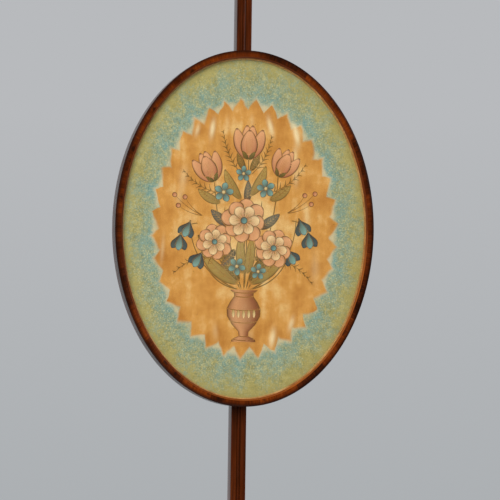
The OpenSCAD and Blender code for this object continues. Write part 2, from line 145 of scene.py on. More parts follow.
def putPiece(name, grids, body, finish, stands=(), runs=None, closed=True, sharp=35):
    # grids of points become one mesh with welded seams; runs, their surface lengths, are kept as a UV map
    starts = np.cumsum([0] + [grid.shape[0] * grid.shape[1] for grid in grids[:-1]])
    points = np.concatenate([grid.reshape(-1, 3) for grid in grids]) * mm
    faces = np.concatenate([quads(*grid.shape[:2], start) for grid, start in zip(grids, starts)])
    mesh = bpy.data.meshes.new(name)
    mesh.from_pydata(points.tolist(), [], faces.tolist())
    if runs is not None:
        flat = np.concatenate([run.reshape(-1, 2) for run in runs]) * mm
        mesh.uv_layers.new(name="run").data.foreach_set("uv", flat[faces.ravel()].ravel())
    if closed:
        shell = bmesh.new()
        shell.from_mesh(mesh)
        bmesh.ops.remove_doubles(shell, verts=shell.verts, dist=1e-6)
        bmesh.ops.recalc_face_normals(shell, faces=shell.faces)
        shell.to_mesh(mesh)
        shell.free()
    mesh.shade_smooth()
    mesh.set_sharp_from_angle(angle=np.radians(sharp))
    markArris(mesh)
    mesh.materials.append(finish)
    piece = placed(name, mesh)
    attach(piece, body)
    if stands:
        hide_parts(*stands)
    return piece


# Shader nodes

def linear(tone):  # sRGB hex to linear colour
    srgb = np.array([int(tone[i:i + 2], 16) for i in (0, 2, 4)]) / 255
    return (*np.where(srgb <= 0.04045, srgb / 12.92, ((srgb + 0.055) / 1.055) ** 2.4), 1.0)


def wire(node, *values):  # fills the sockets in use one by one; a dictionary fills the sockets that it names
    sockets = [socket for socket in node.inputs if socket.enabled]
    for place, given in enumerate(values):
        for key, value in (given if isinstance(given, dict) else {place: given}).items():
            socket = sockets[key] if isinstance(key, int) else next(s for s in sockets if s.name == key)
            if isinstance(value, bpy.types.Node):
                value = next(output for output in value.outputs if output.enabled)
            if isinstance(value, bpy.types.NodeSocket):
                node.id_data.links.new(value, socket)
            else:
                socket.default_value = linear(value) if isinstance(value, str) else value


def addNode(tree, kind, *values, stops=None, **settings):
    # a node with its settings, its sockets filled by wire and, on a ramp, its stops
    node = tree.nodes.new("ShaderNode" + kind)
    for key, value in settings.items():
        setattr(node, key, value)
    wire(node, *values)
    if stops:
        elements = node.color_ramp.elements
        for _ in range(len(stops) - 2):
            elements.new(1.0)
        for element, (place, tone) in zip(elements, stops.items()):
            element.position, element.color = place, linear(tone)
    return node


def newFinish(name, values, source="Object"):
    # a material, its shader with the plain values set, a function that adds nodes to it, and its coordinates
    material = bpy.data.materials.new(name)
    material.use_nodes = True
    shader = material.node_tree.nodes["Principled BSDF"]
    wire(shader, values)
    add = functools.partial(addNode, material.node_tree)
    return material, shader, add, add("TexCoord").outputs[source]


def tinted(add, colour, tone, value, low, high, most, ease="LINEAR"):
    # the colour gives way to a tone, at most by a share, as the value goes from low to high
    share = add("MapRange", value, low, high, 0, most, interpolation_type=ease)
    return add("Mix", share, colour, tone, data_type="RGBA")


def surfaced(add, shader, colour, relief, strength, depth, dull=None):
    # ends a finish: its colour, a relief of a strength and a depth in mm, and how dull it is
    bump = add("Bump", {"Strength": strength, "Distance": depth * mm, "Height": relief})
    wire(shader, {"Base Color": colour, "Normal": bump})
    if dull:
        wire(shader, {"Roughness": dull})


# Finishes

def mahogany(name, tones, source="Object", stretch=(1, 1, 20), turn=(0, 0, 0), roughness=0.17, gloss=1.0,
             black=0):
    # French-polished mahogany: streaky straight grain and short dark pores under a thin hard shine, painted
    # shade with grime in the crevices and a rubbed, paler arris; gloss is the share of the shine that is
    # left, black is how many millimetres in from the UV map's first edge the colour goes nearly black: old
    # blackened polish and a painted dark reflection
    material, shader, add, place = newFinish(name, {
        "IOR": 1.5, "Specular IOR Level": 0.5 * gloss, "Coat Weight": 0.2 * gloss,
        "Coat Roughness": 0.08}, source)
    grain = add("Mapping", {"Vector": place, "Rotation": np.radians(turn), "Scale": stretch},
                vector_type="TEXTURE")  # turned with the piece, then drawn out along the grain
    figure = add("TexNoise", grain, 1 / (26 * mm), 5, {"Distortion": 0.9})
    streak = add("TexNoise", grain, 1 / (2.6 * mm), 3)
    pore = add("TexNoise", grain, 1 / (0.9 * mm), 1)  # drawn coarse to show
    level = add("Mix", 0.42, figure, streak)
    tone = add("ValToRGB", level, stops=dict(zip((0.34, 0.50, 0.66), tones)))
    pit = add("MapRange", pore, 0.60, 0.74, 0, 0.6)
    pitted = add("Mix", pit, tone, tones[0], data_type="RGBA")
    arris = add("Attribute", attribute_name="arris").outputs["Fac"]
    # painted shade with grime: crevices, where the arris value falls below 0, darken towards near-black
    grimeAndShade = tinted(add, pitted, "160803", arris, -0.04, -0.22, 0.8)
    wear = add("TexNoise", place, 1 / (14 * mm), 3)
    rub = add("MapRange", arris, 0.09, 0.30, 0, 0.55)
    rubbed = add("Math", rub, wear, operation="MULTIPLY")
    colour = add("Mix", rubbed, grimeAndShade, tones[2], data_type="RGBA")
    # painted dark reflection with old blackened polish: near-black within black mm of the UV map's first edge
    if black:
        edge = add("SeparateXYZ", place).outputs["Y"]
        colour = tinted(add, colour, "1e100a", edge, black * mm, black * 0.2 * mm, 0.8, "SMOOTHSTEP")
    rise = add("Math", streak, pit, operation="SUBTRACT")
    dull = add("MapRange", wear, 0.3, 0.75, roughness - 0.03, roughness + 0.07)
    surfaced(add, shader, colour, rise, 0.22, 0.12, dull)
    return material


def crossbanded():
    # crossbanded veneer: short lengths laid end to end with the grain across the band, each cut from another
    # part of the leaf, a hairline joint between them, and a dark outer edge that is old grime and painted
    # shade
    band = dict(length=46, joint=0.7, edge=5.4, sway=7, swayLong=19)  # mm
    material, shader, add, place = newFinish(
        "crossbanded mahogany veneer", {"IOR": 1.5, "Specular IOR Level": 0.1}, "UV")
    parts = add("SeparateXYZ", place).outputs
    swing = add("Math", parts["X"], 1 / (band["swayLong"] * mm), operation="MULTIPLY")
    sway = add("Math", swing, operation="SINE")
    shifted = add("Math", sway, band["sway"] * mm, parts["X"], operation="MULTIPLY_ADD")  # lengths differ
    count = add("Math", shifted, band["length"] * mm, operation="DIVIDE")
    number = add("Math", count, operation="FLOOR")
    leaf = add("TexWhiteNoise", number, noise_dimensions="1D")
    start = add("Math", count, operation="FRACT")
    gap = add("MapRange", start, 0, band["joint"] / band["length"], 0.85, 0)
    grain = add("Mapping", {"Vector": place, "Scale": (1, 0.09, 1)})
    streak = add("TexNoise", grain, 1 / (1.6 * mm), 3, 0.6)
    cloud = add("TexNoise", place, 1 / (22 * mm), 3)
    half = add("Mix", 0.45, streak, cloud)
    level = add("Mix", 0.20, half, leaf)
    tone = add("ValToRGB", level, stops={0.32: "1c0a02", 0.45: "431803", 0.58: "622704", 0.74: "843c0a"})
    scorch = add("TexNoise", place, 1 / (12 * mm), 3)
    mark = add("MapRange", scorch, 0.54, 0.68, 0, 0.8)
    # painted shade with old grime: the band darkens towards its outer arris, from edge mm in to 1 mm
    rim = add("MapRange", parts["Y"], band["edge"] * mm, 1.0 * mm, 0, 0.85, interpolation_type="SMOOTHSTEP")
    edges = add("Math", rim, gap, operation="MAXIMUM")
    dark = add("Math", edges, mark, operation="MAXIMUM")
    colour = add("Mix", dark, tone, "1a0a05", data_type="RGBA")
    rise = add("Math", streak, gap, operation="SUBTRACT")
    dull = add("MapRange", cloud, 0.3, 0.7, 0.2, 0.3)
    surfaced(add, shader, colour, rise, 0.25, 0.12, dull)
    return material


def oiledBoxwood():
    # oiled boxwood: close pale grain yellowed to honey, with a little grime rubbed into it
    material, shader, add, place = newFinish("oiled boxwood", {"IOR": 1.5, "Roughness": 0.4})
    cloud = add("TexNoise", place, 1 / (16 * mm), 4)
    fleck = add("TexNoise", place, 1 / (1.5 * mm), 2)
    level = add("Mix", 0.4, cloud, fleck)
    tone = add("ValToRGB", level, stops={0.34: "8a5724", 0.50: "b27b3f", 0.68: "cfa166"})
    surfaced(add, shader, tone, fleck, 0.15, 0.1)
    return material


def oldPine():
    # bare pine gone grey-brown: wide yearly rings that show as soft bands, dry and matt
    material, shader, add, place = newFinish(
        "bare old pine", {"IOR": 1.5, "Roughness": 0.72, "Specular IOR Level": 0.3})
    grain = add("Mapping", {"Vector": place, "Scale": (1, 1, 0.06)})
    sway = add("TexNoise", grain, 1 / (60 * mm), 2)
    ring = add("TexNoise", grain, 1 / (17 * mm), 3, {"Distortion": 1.5})
    fibre = add("TexNoise", grain, 1 / (1.2 * mm), 2)
    stain = add("TexNoise", place, 1 / (70 * mm), 4)
    mixed = add("Mix", 0.35, ring, fibre)
    level = add("Mix", 0.3, mixed, sway)
    tone = add("ValToRGB", level, stops={0.36: "7f5d39", 0.50: "a17d50", 0.64: "b8966a"})
    colour = tinted(add, tone, "5c4630", stain, 0.45, 0.75, 0.55)
    surfaced(add, shader, colour, mixed, 0.4, 0.2)
    return material


def agedBrass():
    # cast and filed brass under old lacquer: warm yellow metal with brown tarnish in clouds, worn bright on
    # each arris
    material, shader, add, place = newFinish("aged lacquered brass", {"Metallic": 1.0})
    cloud = add("TexNoise", place, 1 / (7 * mm), 5, 0.62)
    scratch = add("TexNoise", place, 1 / (0.6 * mm), 2)
    arris = add("Attribute", attribute_name="arris").outputs["Fac"]
    bare = add("MapRange", arris, 0.05, 0.30, 0, -0.22)
    level = add("Math", cloud, bare, operation="ADD")
    tone = add("ValToRGB", level, stops={0.30: "dcb468", 0.50: "b98d45", 0.70: "6e4d25"})
    dull = add("MapRange", level, 0.3, 0.7, 0.22, 0.5)
    surfaced(add, shader, tone, scratch, 0.12, 0.08, dull)
    return material


def blackIron():
    # hand-forged iron: black scale worn to dull grey, with a little rust
    material, shader, add, place = newFinish("forged black iron", {"Metallic": 0.7})
    scale = add("TexNoise", place, 1 / (3 * mm), 4, 0.65)
    rust = add("TexNoise", place, 1 / (9 * mm), 3)
    tone = add("ValToRGB", scale, stops={0.35: "1c1a18", 0.55: "34302c", 0.75: "544d46"})
    colour = tinted(add, tone, "4a2a16", rust, 0.55, 0.75, 0.7)
    dull = add("MapRange", scale, 0, 1, 0.4, 0.7)
    surfaced(add, shader, colour, scale, 0.5, 0.2, dull)
    return material


def crownGlass():
    # hand-blown pane: clear, faintly green and slightly wavy, so reflections waver; lamps shine through it
    material, shader, add, place = newFinish("hand-blown crown glass", {
        "Base Color": "fdfffe", "IOR": 1.52, "Transmission Weight": 1.0, "Roughness": 0.0})
    wave = add("TexNoise", place, 1 / (38 * mm), 1)
    wire(shader, {"Normal": add("Bump", {"Strength": 0.3, "Distance": 0.5 * mm, "Height": wave})})
    ray = add("LightPath").outputs
    light = add("Math", ray["Is Shadow Ray"], ray["Is Diffuse Ray"], operation="MAXIMUM")
    clear = add("BsdfTransparent", "f9fbfa")
    wire(material.node_tree.nodes["Material Output"], add("MixShader", light, shader, clear))
    return material


def paintedSilk():
    # plain-woven silk: soft satin shine, threads that catch the light, a tan reserve with a zigzag edge kept
    # clear of a ground dabbed blue over ochre; attributes carry painted highlights on the ridges and the
    # posy's brushwork
    size = dict(reserveWide=95.5, reserveHigh=130, teeth=35, start=0.38, toothDepth=9.5, lean=0.22, halo=5.0,
                wobble=3.2, brink=7.0, hidden=8)  # mm; the rim hides the last stretch of the cloth
    material, shader, add, place = newFinish("painted silk", {"IOR": 1.5, "Specular IOR Level": 0.2})
    cloth = add("Mapping", {"Vector": place, "Location": (0, 0, -ovalZ), "Scale": (1 / mm,) * 3})  # in mm
    shake = add("TexNoise", cloth, 1 / 15, 3).outputs["Color"]
    drift = add("VectorMath", shake, (0.5, 0.5, 0.5), operation="SUBTRACT")
    drawn = add("VectorMath", drift, (size["wobble"] * 2,) * 3, cloth, operation="MULTIPLY_ADD")
    oval = (1 / size["reserveWide"], 0, 1 / size["reserveHigh"])
    reach = add("VectorMath", drawn, oval, operation="MULTIPLY")
    radius = add("VectorMath", reach, operation="LENGTH").outputs["Value"]
    parts = add("SeparateXYZ", reach).outputs
    angle = add("Math", parts["Z"], parts["X"], operation="ARCTAN2")
    count = add("Math", angle, size["teeth"] / (2 * np.pi), size["start"], operation="MULTIPLY_ADD")
    sideways = add("Math", angle, operation="COSINE")
    done = add("Math", count, operation="FRACT")
    still = add("Math", 1.0, done, operation="SUBTRACT")
    slopes = []
    for way, lean in ((done, size["lean"]), (still, -size["lean"])):  # teeth lean up at the sides
        part = add("Math", sideways, lean, 0.5, operation="MULTIPLY_ADD")
        slopes.append(add("Math", way, part, operation="DIVIDE"))
    zigzag = add("Math", *slopes, operation="MINIMUM")
    middle = (size["reserveWide"] + size["reserveHigh"]) / 2
    half = size["toothDepth"] / 2 / middle
    inner = add("Math", zigzag, 2 * half, 1 - half, operation="MULTIPLY_ADD")
    beyond = add("Math", radius, inner, operation="SUBTRACT")
    outside = add("Math", beyond, middle, operation="MULTIPLY")  # mm past the zigzag edge
    patch = add("TexNoise", cloth, 1 / 24, 2)
    haze = add("TexNoise", cloth, 1 / 40, 1)
    blur = add("MapRange", haze, 0.42, 0.62, 0.7, 2.8)  # the edge is sharp here, faded there
    share = add("Math", outside, blur, operation="DIVIDE")
    reserve = add("MapRange", share, 1, -1, 0, 1, interpolation_type="SMOOTHSTEP")

    # ground: ochre dabbed with blue, thickest beside the teeth and thin towards the rim, with painted shade
    # beside the rim
    dab = add("TexNoise", cloth, 1 / 2.6, 4, 0.72)
    fall = add("MapRange", outside, 3, 37, 0.21, -0.15)
    patchy = add("MapRange", patch, 0.3, 0.7, -0.13, 0.13)
    amount = add("Math", fall, patchy, operation="ADD")
    wash = add("Math", dab, amount, operation="ADD")
    mottle = add("TexNoise", cloth, 1 / 5, 5, 0.7)
    near = add("MapRange", outside, 20, 39, 1, 0.3)  # the dabs thin out before the rim
    calm = add("Mix", near, 0.5, mottle)
    ochre = add("ValToRGB", calm, stops={0.30: "857a46", 0.50: "a6975a", 0.70: "c2b176"})
    ground = tinted(add, ochre, "68979a", wash, 0.34, 0.84, 0.8)
    fleck = add("TexNoise", cloth, 1 / 1.5, 2)
    most = add("Math", near, 0.56, operation="MULTIPLY")
    dabbed = tinted(add, ground, "55705f", fleck, 0.53, 0.70, most)
    stippled = tinted(add, dabbed, "d8c792", fleck, 0.45, 0.30, most)
    # painted shade: the ground darkens olive-brown over the last brink mm before the hidden rim
    border = (1 / (halfWide - size["hidden"]), 0, 1 / (halfHigh - size["hidden"]))
    outward = add("VectorMath", cloth, border, operation="MULTIPLY")
    toRim = add("VectorMath", outward, operation="LENGTH").outputs["Value"]
    rimShaded = tinted(add, stippled, "665c2c", toRim, 1 - size["brink"] / halfWide, 1.0, 0.12)

    # between the teeth the ground was left thin: cream shows up to a line through the tips
    halo = add("MapRange", outside, size["halo"], 0.2, 0, 0.75)
    wedge = add("MapRange", radius, 1 + half * 1.1, 1 - half * 0.2, 0, 0.8, interpolation_type="SMOOTHSTEP")
    thin = add("Math", halo, wedge, operation="MAXIMUM")
    uneven = add("MapRange", patch, 0.36, 0.56, 0.3, 1)
    left = add("Math", thin, uneven, operation="MULTIPLY")
    rimmed = add("Mix", left, rimShaded, "d3b98e", data_type="RGBA")

    # reserve: tan silk with soft stains and faint upright streaks, paler in the middle
    stain = add("TexNoise", cloth, 1 / 26, 5, 0.6)
    upright = add("Mapping", {"Vector": cloth, "Scale": (1, 1, 0.16)})
    streak = add("TexNoise", upright, 1 / 8, 3)
    mixed = add("Mix", 0.3, stain, streak)
    pale = add("MapRange", radius, 0.25, 0.95, 0.07, -0.06)
    level = add("Math", mixed, pale, operation="ADD")
    tan = add("ValToRGB", level, stops={0.32: "b57430", 0.50: "cf9148", 0.66: "e4b97b"})
    plain = add("Mix", reserve, rimmed, tan, data_type="RGBA")

    # painted highlights on the ridges, age in small brown specks, then the posy's paint
    ridgeHighlight = add("Attribute", attribute_name="paintedHighlight").outputs["Fac"]
    highlighted = add("Mix", ridgeHighlight, plain, "f3dcae", data_type="RGBA")
    dust = add("TexNoise", cloth, 1 / 2.2, 1)
    aged = tinted(add, highlighted, "4e3a1d", dust, 0.78, 0.83, 0.7)
    paint = add("Attribute", attribute_name="paint").outputs
    grain = add("MapRange", mottle, 0.3, 0.7, 0.92, 1.0)
    cover = add("Math", paint["Alpha"], grain, operation="MULTIPLY")
    colour = add("Mix", cover, aged, paint["Color"], data_type="RGBA")
    threads = []
    for stretch in ((1, 1, 0.05), (0.05, 1, 1)):  # warp and weft, drawn coarse to show
        way = add("Mapping", {"Vector": cloth, "Scale": stretch})
        threads.append(add("TexNoise", way, 1 / 0.7, 1))
    weave = add("Math", *threads, operation="ADD")
    dull = add("MapRange", mottle, 0.3, 0.7, 0.34, 0.46)
    surfaced(add, shader, colour, weave, 0.25, 0.06, dull)
    return material


alongRun = (20, 1, 1)  # grain drawn out along a piece's UV map
woodTones = ("2a0f05", "4d1f0b", "713413")
poleWood = mahogany("polished dark mahogany", ("260e03", "451a05", "632d0a"), gloss=0.7)
pillarWood = mahogany("polished turned mahogany", woodTones)
# black=12: the hoop's outer side goes nearly black near its front, old blackened polish with a painted dark
# reflection
hoopWood = mahogany("polished bent mahogany", ("220d04", "43190a", "5e2b12"), "UV", alongRun, black=12,
                    roughness=0.25, gloss=0.28)
battenWood = mahogany("waxed mahogany batten", ("3a1a0a", "5c2f16", "7d4a26"), roughness=0.42)
veneer = crossbanded()
beadWood = mahogany("polished moulding mahogany", ("3a1605", "622b0a", "8c4a16"), "UV", alongRun,
                    roughness=0.4, gloss=0.3)
boxwood = oiledBoxwood()
pine = oldPine()
brass = agedBrass()
iron = blackIron()
glassClear = crownGlass()
silkCloth = paintedSilk()
print("finishes ready:", len(bpy.data.materials))


# Stand: pillar, legs, pole, finial

def makePillar():
    # the half outline swung round the axis: drum, ring, vase, neck ring and cap
    size = dict(drum=27, drumTop=144, bevel=1.5, ring=2, vase=24, neck=12.0, cap=15.0, capHigh=9,
                capBevel=1.2)
    base, top = span("pillar")[:, 2]
    drum, drumTop, ring, neck, cap = (size[key] for key in ("drum", "drumTop", "ring", "neck", "cap"))
    foot, low, neckZ = drum - 2 * ring, drumTop + 2.5 * ring, top - size["capHigh"]
    rise, vase = neckZ - low, size["vase"] * 1.12  # a curve stays inside the point that pulls it
    outline = np.concatenate([
        eased([(0, base), (drum, base), (drum, drumTop), (foot, drumTop)], size["bevel"], False),
        arc((foot, drumTop + ring), ring, -90, 90),
        [(foot - ring, low - ring / 2)],
        curve((foot - 2.5 * ring, low), (vase, low + rise * 0.16), (vase, low + rise * 0.44),
              (neck * 1.25, low + rise * 0.65), 28),
        curve((neck * 1.15, low + rise * 0.68), (neck * 0.92, low + rise * 0.76),
              (neck * 0.92, low + rise * 0.93), (neck, neckZ), 18),
        arc((neck, neckZ + ring), ring, -90, 90),
        eased([(neck, neckZ + 2 * ring), (cap, neckZ + 2.3 * ring), (cap, top), (0, top)],
              size["capBevel"], False)])
    putPiece("turned_pillar", [turned(outline, 96) + (0, axisY, 0)], "stand", pillarWood, ["pillar"])


def makeLeg(node, heading):
    # an upper and a lower edge run from the drum to the ankle, and each station between them is a rounded
    # square whose half width follows the height; four more stations make the spade foot
    size = dict(reach=205, ankle=13, rootTop=140, base=98, flat=53, root=23, spade=34, kneeRise=11.8,
                kneeFall=31.5, archRise=10.9, archFall=12.6, neck=1.4, swell=3.5, swellDrop=4, pad=7.3,
                padWide=7.2, sole=6.6, soleEase=0.8, thick=20, stations=56)
    reach, spade, ease = size["reach"], size["spade"], size["soleEase"]
    knee, rootTop, base = reach * 0.62, size["rootTop"], size["base"]
    outX, inX = reach + size["ankle"] / 2, reach - size["ankle"] / 2
    upper = curve((0, rootTop), (knee, rootTop + size["kneeRise"]), (outX, rootTop - size["kneeFall"]),
                  (outX, spade), 60)
    lower = curve((size["flat"], base), (knee, base + size["archRise"]), (inX, base - size["archFall"]),
                  (inX, spade), 60)
    upper = upper[upper[:, 0] > size["root"]]
    lower = np.concatenate([[(size["root"], base)], lower])
    edges = []
    for edge, ankle, way in ((upper, outX, 1), (lower, inX, -1)):  # cut into equal steps, then the foot
        run = lengths(edge)
        even = np.linspace(0, run[-1], size["stations"])
        steps = np.stack([np.interp(even, run, edge[:, axis]) for axis in (0, 1)], -1)
        foot = [(ankle + way * size["neck"], spade - size["neck"]),
                (ankle + way * size["swell"], spade - size["swellDrop"]),
                (reach + way * size["pad"], ease), (reach + way * size["sole"], 0)]
        edges.append(np.concatenate([steps, foot]))
    middle, half = (edges[0] + edges[1]) / 2, (edges[0] - edges[1]) / 2
    squareness = np.append(np.full(size["stations"], 4.5), [6, 9, 9, 9])[:, None]
    angle = around(40)
    across, up = (np.sign(way) * np.abs(way) ** (2 / squareness) for way in (np.cos(angle), np.sin(angle)))
    distance, height = (middle[:, None] + up[..., None] * half[:, None]).transpose(2, 0, 1)
    levels = [0, ease, spade - size["swellDrop"], spade, base]
    halves = [size["sole"], size["padWide"], size["thick"] / 2, size["ankle"] / 2, size["thick"] / 2]
    wide = across * np.interp(height, levels, halves)
    turn = np.radians(heading)
    grid = np.stack([distance * np.cos(turn) - wide * np.sin(turn),
                     distance * np.sin(turn) + wide * np.cos(turn) + axisY, height], -1)
    finish = mahogany("polished leg mahogany " + node[4:], woodTones, stretch=(16, 1, 1),
                      turn=(0, 24, heading))
    putPiece("arched_" + node, [capped(grid)], "stand", finish, [node])


def makePole():
    # a square section with a reed and two quirks in its front, drawn up the pole; below it the tenon,
    # in its top the hole for the finial's dowel
    size = dict(side=16, reed=3.0, quirk=0.8, arris=0.9, tenon=6.5, dowel=3.1, dowelDeep=26, topEase=0.8)
    low, top = span("pole")[:, 2]
    shoulder = span("pillar")[1, 2]
    side, half, quirk = size["side"] / 2, size["reed"] / 2, size["quirk"]
    crown = (half ** 2 + quirk ** 2) / (2 * quirk)  # the reed's radius
    swing = np.degrees(np.arcsin(half / crown))
    section = np.concatenate([
        eased([(side, -side), (side, side), (-side, side), (-side, -side)], size["arris"], steps=5),
        arc((0, crown - side), crown, -90 + swing, -90 - swing, 14),
        [(half + quirk, -side), (-half - quirk, -side)]])
    section = looped(section[np.argsort(-np.arctan2(section[:, 1], section[:, 0]))])
    angle = np.arctan2(section[:, 1], section[:, 0])
    circle = np.stack([np.cos(angle), np.sin(angle)], -1)
    tenon, dowel = circle * size["tenon"], circle * size["dowel"]
    steps = [(tenon, low), (tenon, shoulder), (section, shoulder)]
    steps += [(section, z) for z in np.linspace(shoulder + 1, top - size["topEase"], 24)]
    steps += [(section * 0.94, top), (dowel, top), (dowel, top - size["dowelDeep"])]
    rings = np.stack([np.insert(flat, 2, z, 1) for flat, z in steps])
    putPiece("reeded_pole", [capped(rings) + (0, axisY, 0)], "stand", poleWood, ["pole"])


def makeFinial():
    # the half outline swung round the axis: dowel, seat ring, waist, urn, shoulder bead, neck and flame tip
    size = dict(radius=13.5, high=64, foot=9.5, dowel=3.0, dowelDeep=26, dowelEase=0.6)
    r, h, foot, z = size["radius"], size["high"], size["foot"], span("pole")[1, 2]
    edge, low, dowel = h * 0.035, z - size["dowelDeep"], size["dowel"]

    def at(wide, level):  # shares of the radius and of the height
        return r * wide, z + h * level

    outline = np.concatenate([
        eased([(0, low), (dowel, low), (dowel, z), (foot - edge, z)], size["dowelEase"], False),
        arc((foot - edge, z + edge), edge, -90, 90),
        curve((foot * 0.72, z + h * 0.08), at(0.26, 0.13), at(0.26, 0.15), at(0.34, 0.19), 14),
        curve(at(0.50, 0.20), at(1.02, 0.36), at(1.00, 0.50), at(0.96, 0.58), 20),
        arc(at(0.94, 0.60), r * 0.06, -80, 80),
        curve(at(0.84, 0.625), at(0.80, 0.74), at(0.30, 0.73), at(0.24, 0.83), 18),
        curve(at(0.24, 0.84), at(0.46, 0.87), at(0.36, 0.98), at(0, 1), 16)])
    putPiece("urn_finial", [turned(outline, 80) + (0, axisY, 0)], "finial", pillarWood, ["finial"])


makePillar()
for node, heading in (("leg_rear", 90), ("leg_front_left", 210), ("leg_front_right", 330)):
    makeLeg(node, heading)
makePole()
makeFinial()
print("stand made")


# Screen: hoop, banding, bead, glass, silk and boards

frontY, hoopFrontY = span("crossbanding")[:, 1]
hoopBackY = ovalHigh[1]
glassFrontY = span("glass")[0, 1]
silkFrontY = span("silk")[0, 1]
battenFrontY, battenBackY = span("batten")[:, 1]
battenHalf = span("batten")[1, 0]
hoopWall = 6.2
panelInset = span("hoop")[1, 0] - span("glass")[1, 0]  # the wall and the clearance that the panels have in it


def ovalSweep(section, turns):
    # a section of inset and depth carried round the oval; its surface lengths run along the rim and across it
    grid = onOval(section[..., 0], section[..., 1], turns[:, None])
    along = lengths(onOval(0, 0, turns))
    side = np.linalg.norm(np.diff(section, axis=-2), axis=-1)
    across = np.insert(np.cumsum(side, -1), 0, 0, -1)
    return grid, np.stack(np.broadcast_arrays(along[:, None], across), -1)


def makeHoop():
    # a rectangle with eased back corners carried round the oval, its back let down where the batten crosses
    size = dict(wall=hoopWall, skin=1.15, ease=0.7, bevel=0.3, gap=0.15)
    wall, skin, ease, bevel = (size[key] for key in ("wall", "skin", "ease", "bevel"))
    notch = np.arccos((battenHalf + size["gap"]) / (halfWide - wall / 2))
    cuts = np.array([notch, np.pi - notch, np.pi + notch, 2 * np.pi - notch])
    turns = np.sort(np.concatenate([around(288), cuts - 1e-5, cuts + 1e-5]))
    bed = np.where(np.abs(np.cos(turns)) < np.cos(notch), battenFrontY - size["gap"], hoopBackY)
    corners = [(0, hoopFrontY), *arc((ease, hoopBackY - ease), ease, 180, 90, 5), (skin, hoopBackY),
               (skin, bed), (wall - bevel, bed), (wall, bed - bevel), (wall, hoopFrontY), (0, hoopFrontY)]
    section = np.stack([np.stack([inset + 0 * bed, depth + 0 * bed], -1) for inset, depth in corners], 1)
    grid, run = ovalSweep(section, turns)
    putPiece("bent_hoop", [grid], "screen", hoopWood, ["hoop"], [run])


def makeBanding():
    # a crowned section carried round the oval: a tight curve from rim to crest, a long one down inside
    size = dict(wall=hoopWall, crest=3.4, inner=0.6)
    wall, crest, inner = size["wall"], size["crest"], size["inner"]
    outer = curve((0, hoopFrontY), (0.1, frontY + 0.5), (1.2, frontY), (crest, frontY), 12)
    fall = curve((crest, frontY), (wall * 0.6, frontY), (wall - 0.6, frontY + 0.5),
                 (wall, frontY + inner), 12)
    section = looped(np.concatenate([outer, fall[1:], [(wall, hoopFrontY)]]))
    grid, run = ovalSweep(section, around(360))
    putPiece("crossbanded_front", [grid], "screen", veneer, ["crossbanding"], [run])


def makeBead():
    # a quarter-round moulding carried round the oval, its round side forwards and inwards
    size = dict(wide=1.8, drop=0.8, flat=1.0)
    inner, wall, high = hoopWall + size["wide"], hoopWall, frontY + size["drop"]
    ovolo = curve((wall, high), (wall + 1.1, high), (inner, high + 0.6),
                  (inner, glassFrontY - size["flat"]), 12)
    section = looped(np.concatenate([ovolo, [(inner, glassFrontY), (wall, glassFrontY)]]))
    grid, run = ovalSweep(section, around(288))
    putPiece("glazing_moulding", [grid], "screen", beadWood, ["glazing_bead"], [run])


def ovalPlate(node, rings, ease, lip=4):
    # rings from the middle of the front out to the lip, over an eased rim and back to the middle of the back
    front, back = span(node)[:, 1]
    turns, edge = around(240), panelInset + lip
    rim = eased([(edge, front), (panelInset, front), (panelInset, back), (edge, back)], ease, False)
    shares = np.linspace(0, 0.98, rings)
    near, far = ([onOval(edge, y, turns, share) for share in shares] for y in (front, back))
    return np.stack(near + [onOval(*point, turns) for point in rim] + far[::-1])


def makeGlass():
    # the pane: both faces follow one slow wave, so that it keeps its thickness
    size = dict(ease=0.3, wave=0.06, length=85, rings=26)
    grid = ovalPlate("glass", size["rings"], size["ease"])
    x, z = grid[..., 0], grid[..., 2] - ovalZ
    slow = np.sin(2 * np.pi * (x + 0.4 * z) / size["length"]) * np.cos(z / size["length"])
    grid[..., 1] += size["wave"] * slow
    putPiece("glass_pane", [grid], "screen", glassClear, ["glass"])


# on the first line, the last two set the painted highlight on the ridges: the ridge height in mm at which it
# is full, and its strongest share
silkShape = dict(
    rings=120, sides=408, thick=0.3, billow=0.18, billowLong=62, highlightHigh=0.9, highlightMost=0.7,
    puckers=[  # x and z of the middle, lean from upright in degrees, half length, half width, height
        (-36, 103, 8, 11, 3.0, 1.00), (-52, 101, 14, 8, 2.6, 0.75), (-20, 108, 4, 9, 3.0, 0.40),
        (26, 107, -14, 12, 3.2, 0.90), (54, 100, -12, 13, 3.4, 1.05), (53, 79, -2, 9, 3.0, 0.60),
        (54, 54, 0, 11, 3.4, 0.55), (6, 112, 0, 8, 2.8, 0.45), (-40, 62, 2, 16, 1.6, 0.35),
        (31, -114, 8, 11, 3.6, 0.90), (51, -99, 14, 9, 3.2, 0.80), (8, -112, 2, 10, 3.6, 0.35),
        (-30, -108, -6, 11, 3.6, 0.40), (-87, -24, 4, 16, 2.4, 0.50), (76, -40, 0, 20, 5.0, 0.40),
        (-66, 52, 8, 14, 5.0, 0.50), (-58, 4, 4, 12, 4.0, 0.40), (14, 20, 0, 40, 5.0, 0.20),
        (66, 12, -4, 14, 4.0, 0.45), (-70, 30, 10, 10, 4.0, 0.40)])


def silkRidges(x, z):  # bell-shaped ridges, each longer than wide
    rise = 0 * x
    for midX, midZ, lean, longHalf, wideHalf, height in silkShape["puckers"]:
        c, s = np.cos(np.radians(lean)), np.sin(np.radians(lean))
        along, across = (z - midZ) * c + (x - midX) * s, (x - midX) * c - (z - midZ) * s
        rise = rise + height * np.exp(-(along / longHalf) ** 2 - (across / wideHalf) ** 2)
    return rise


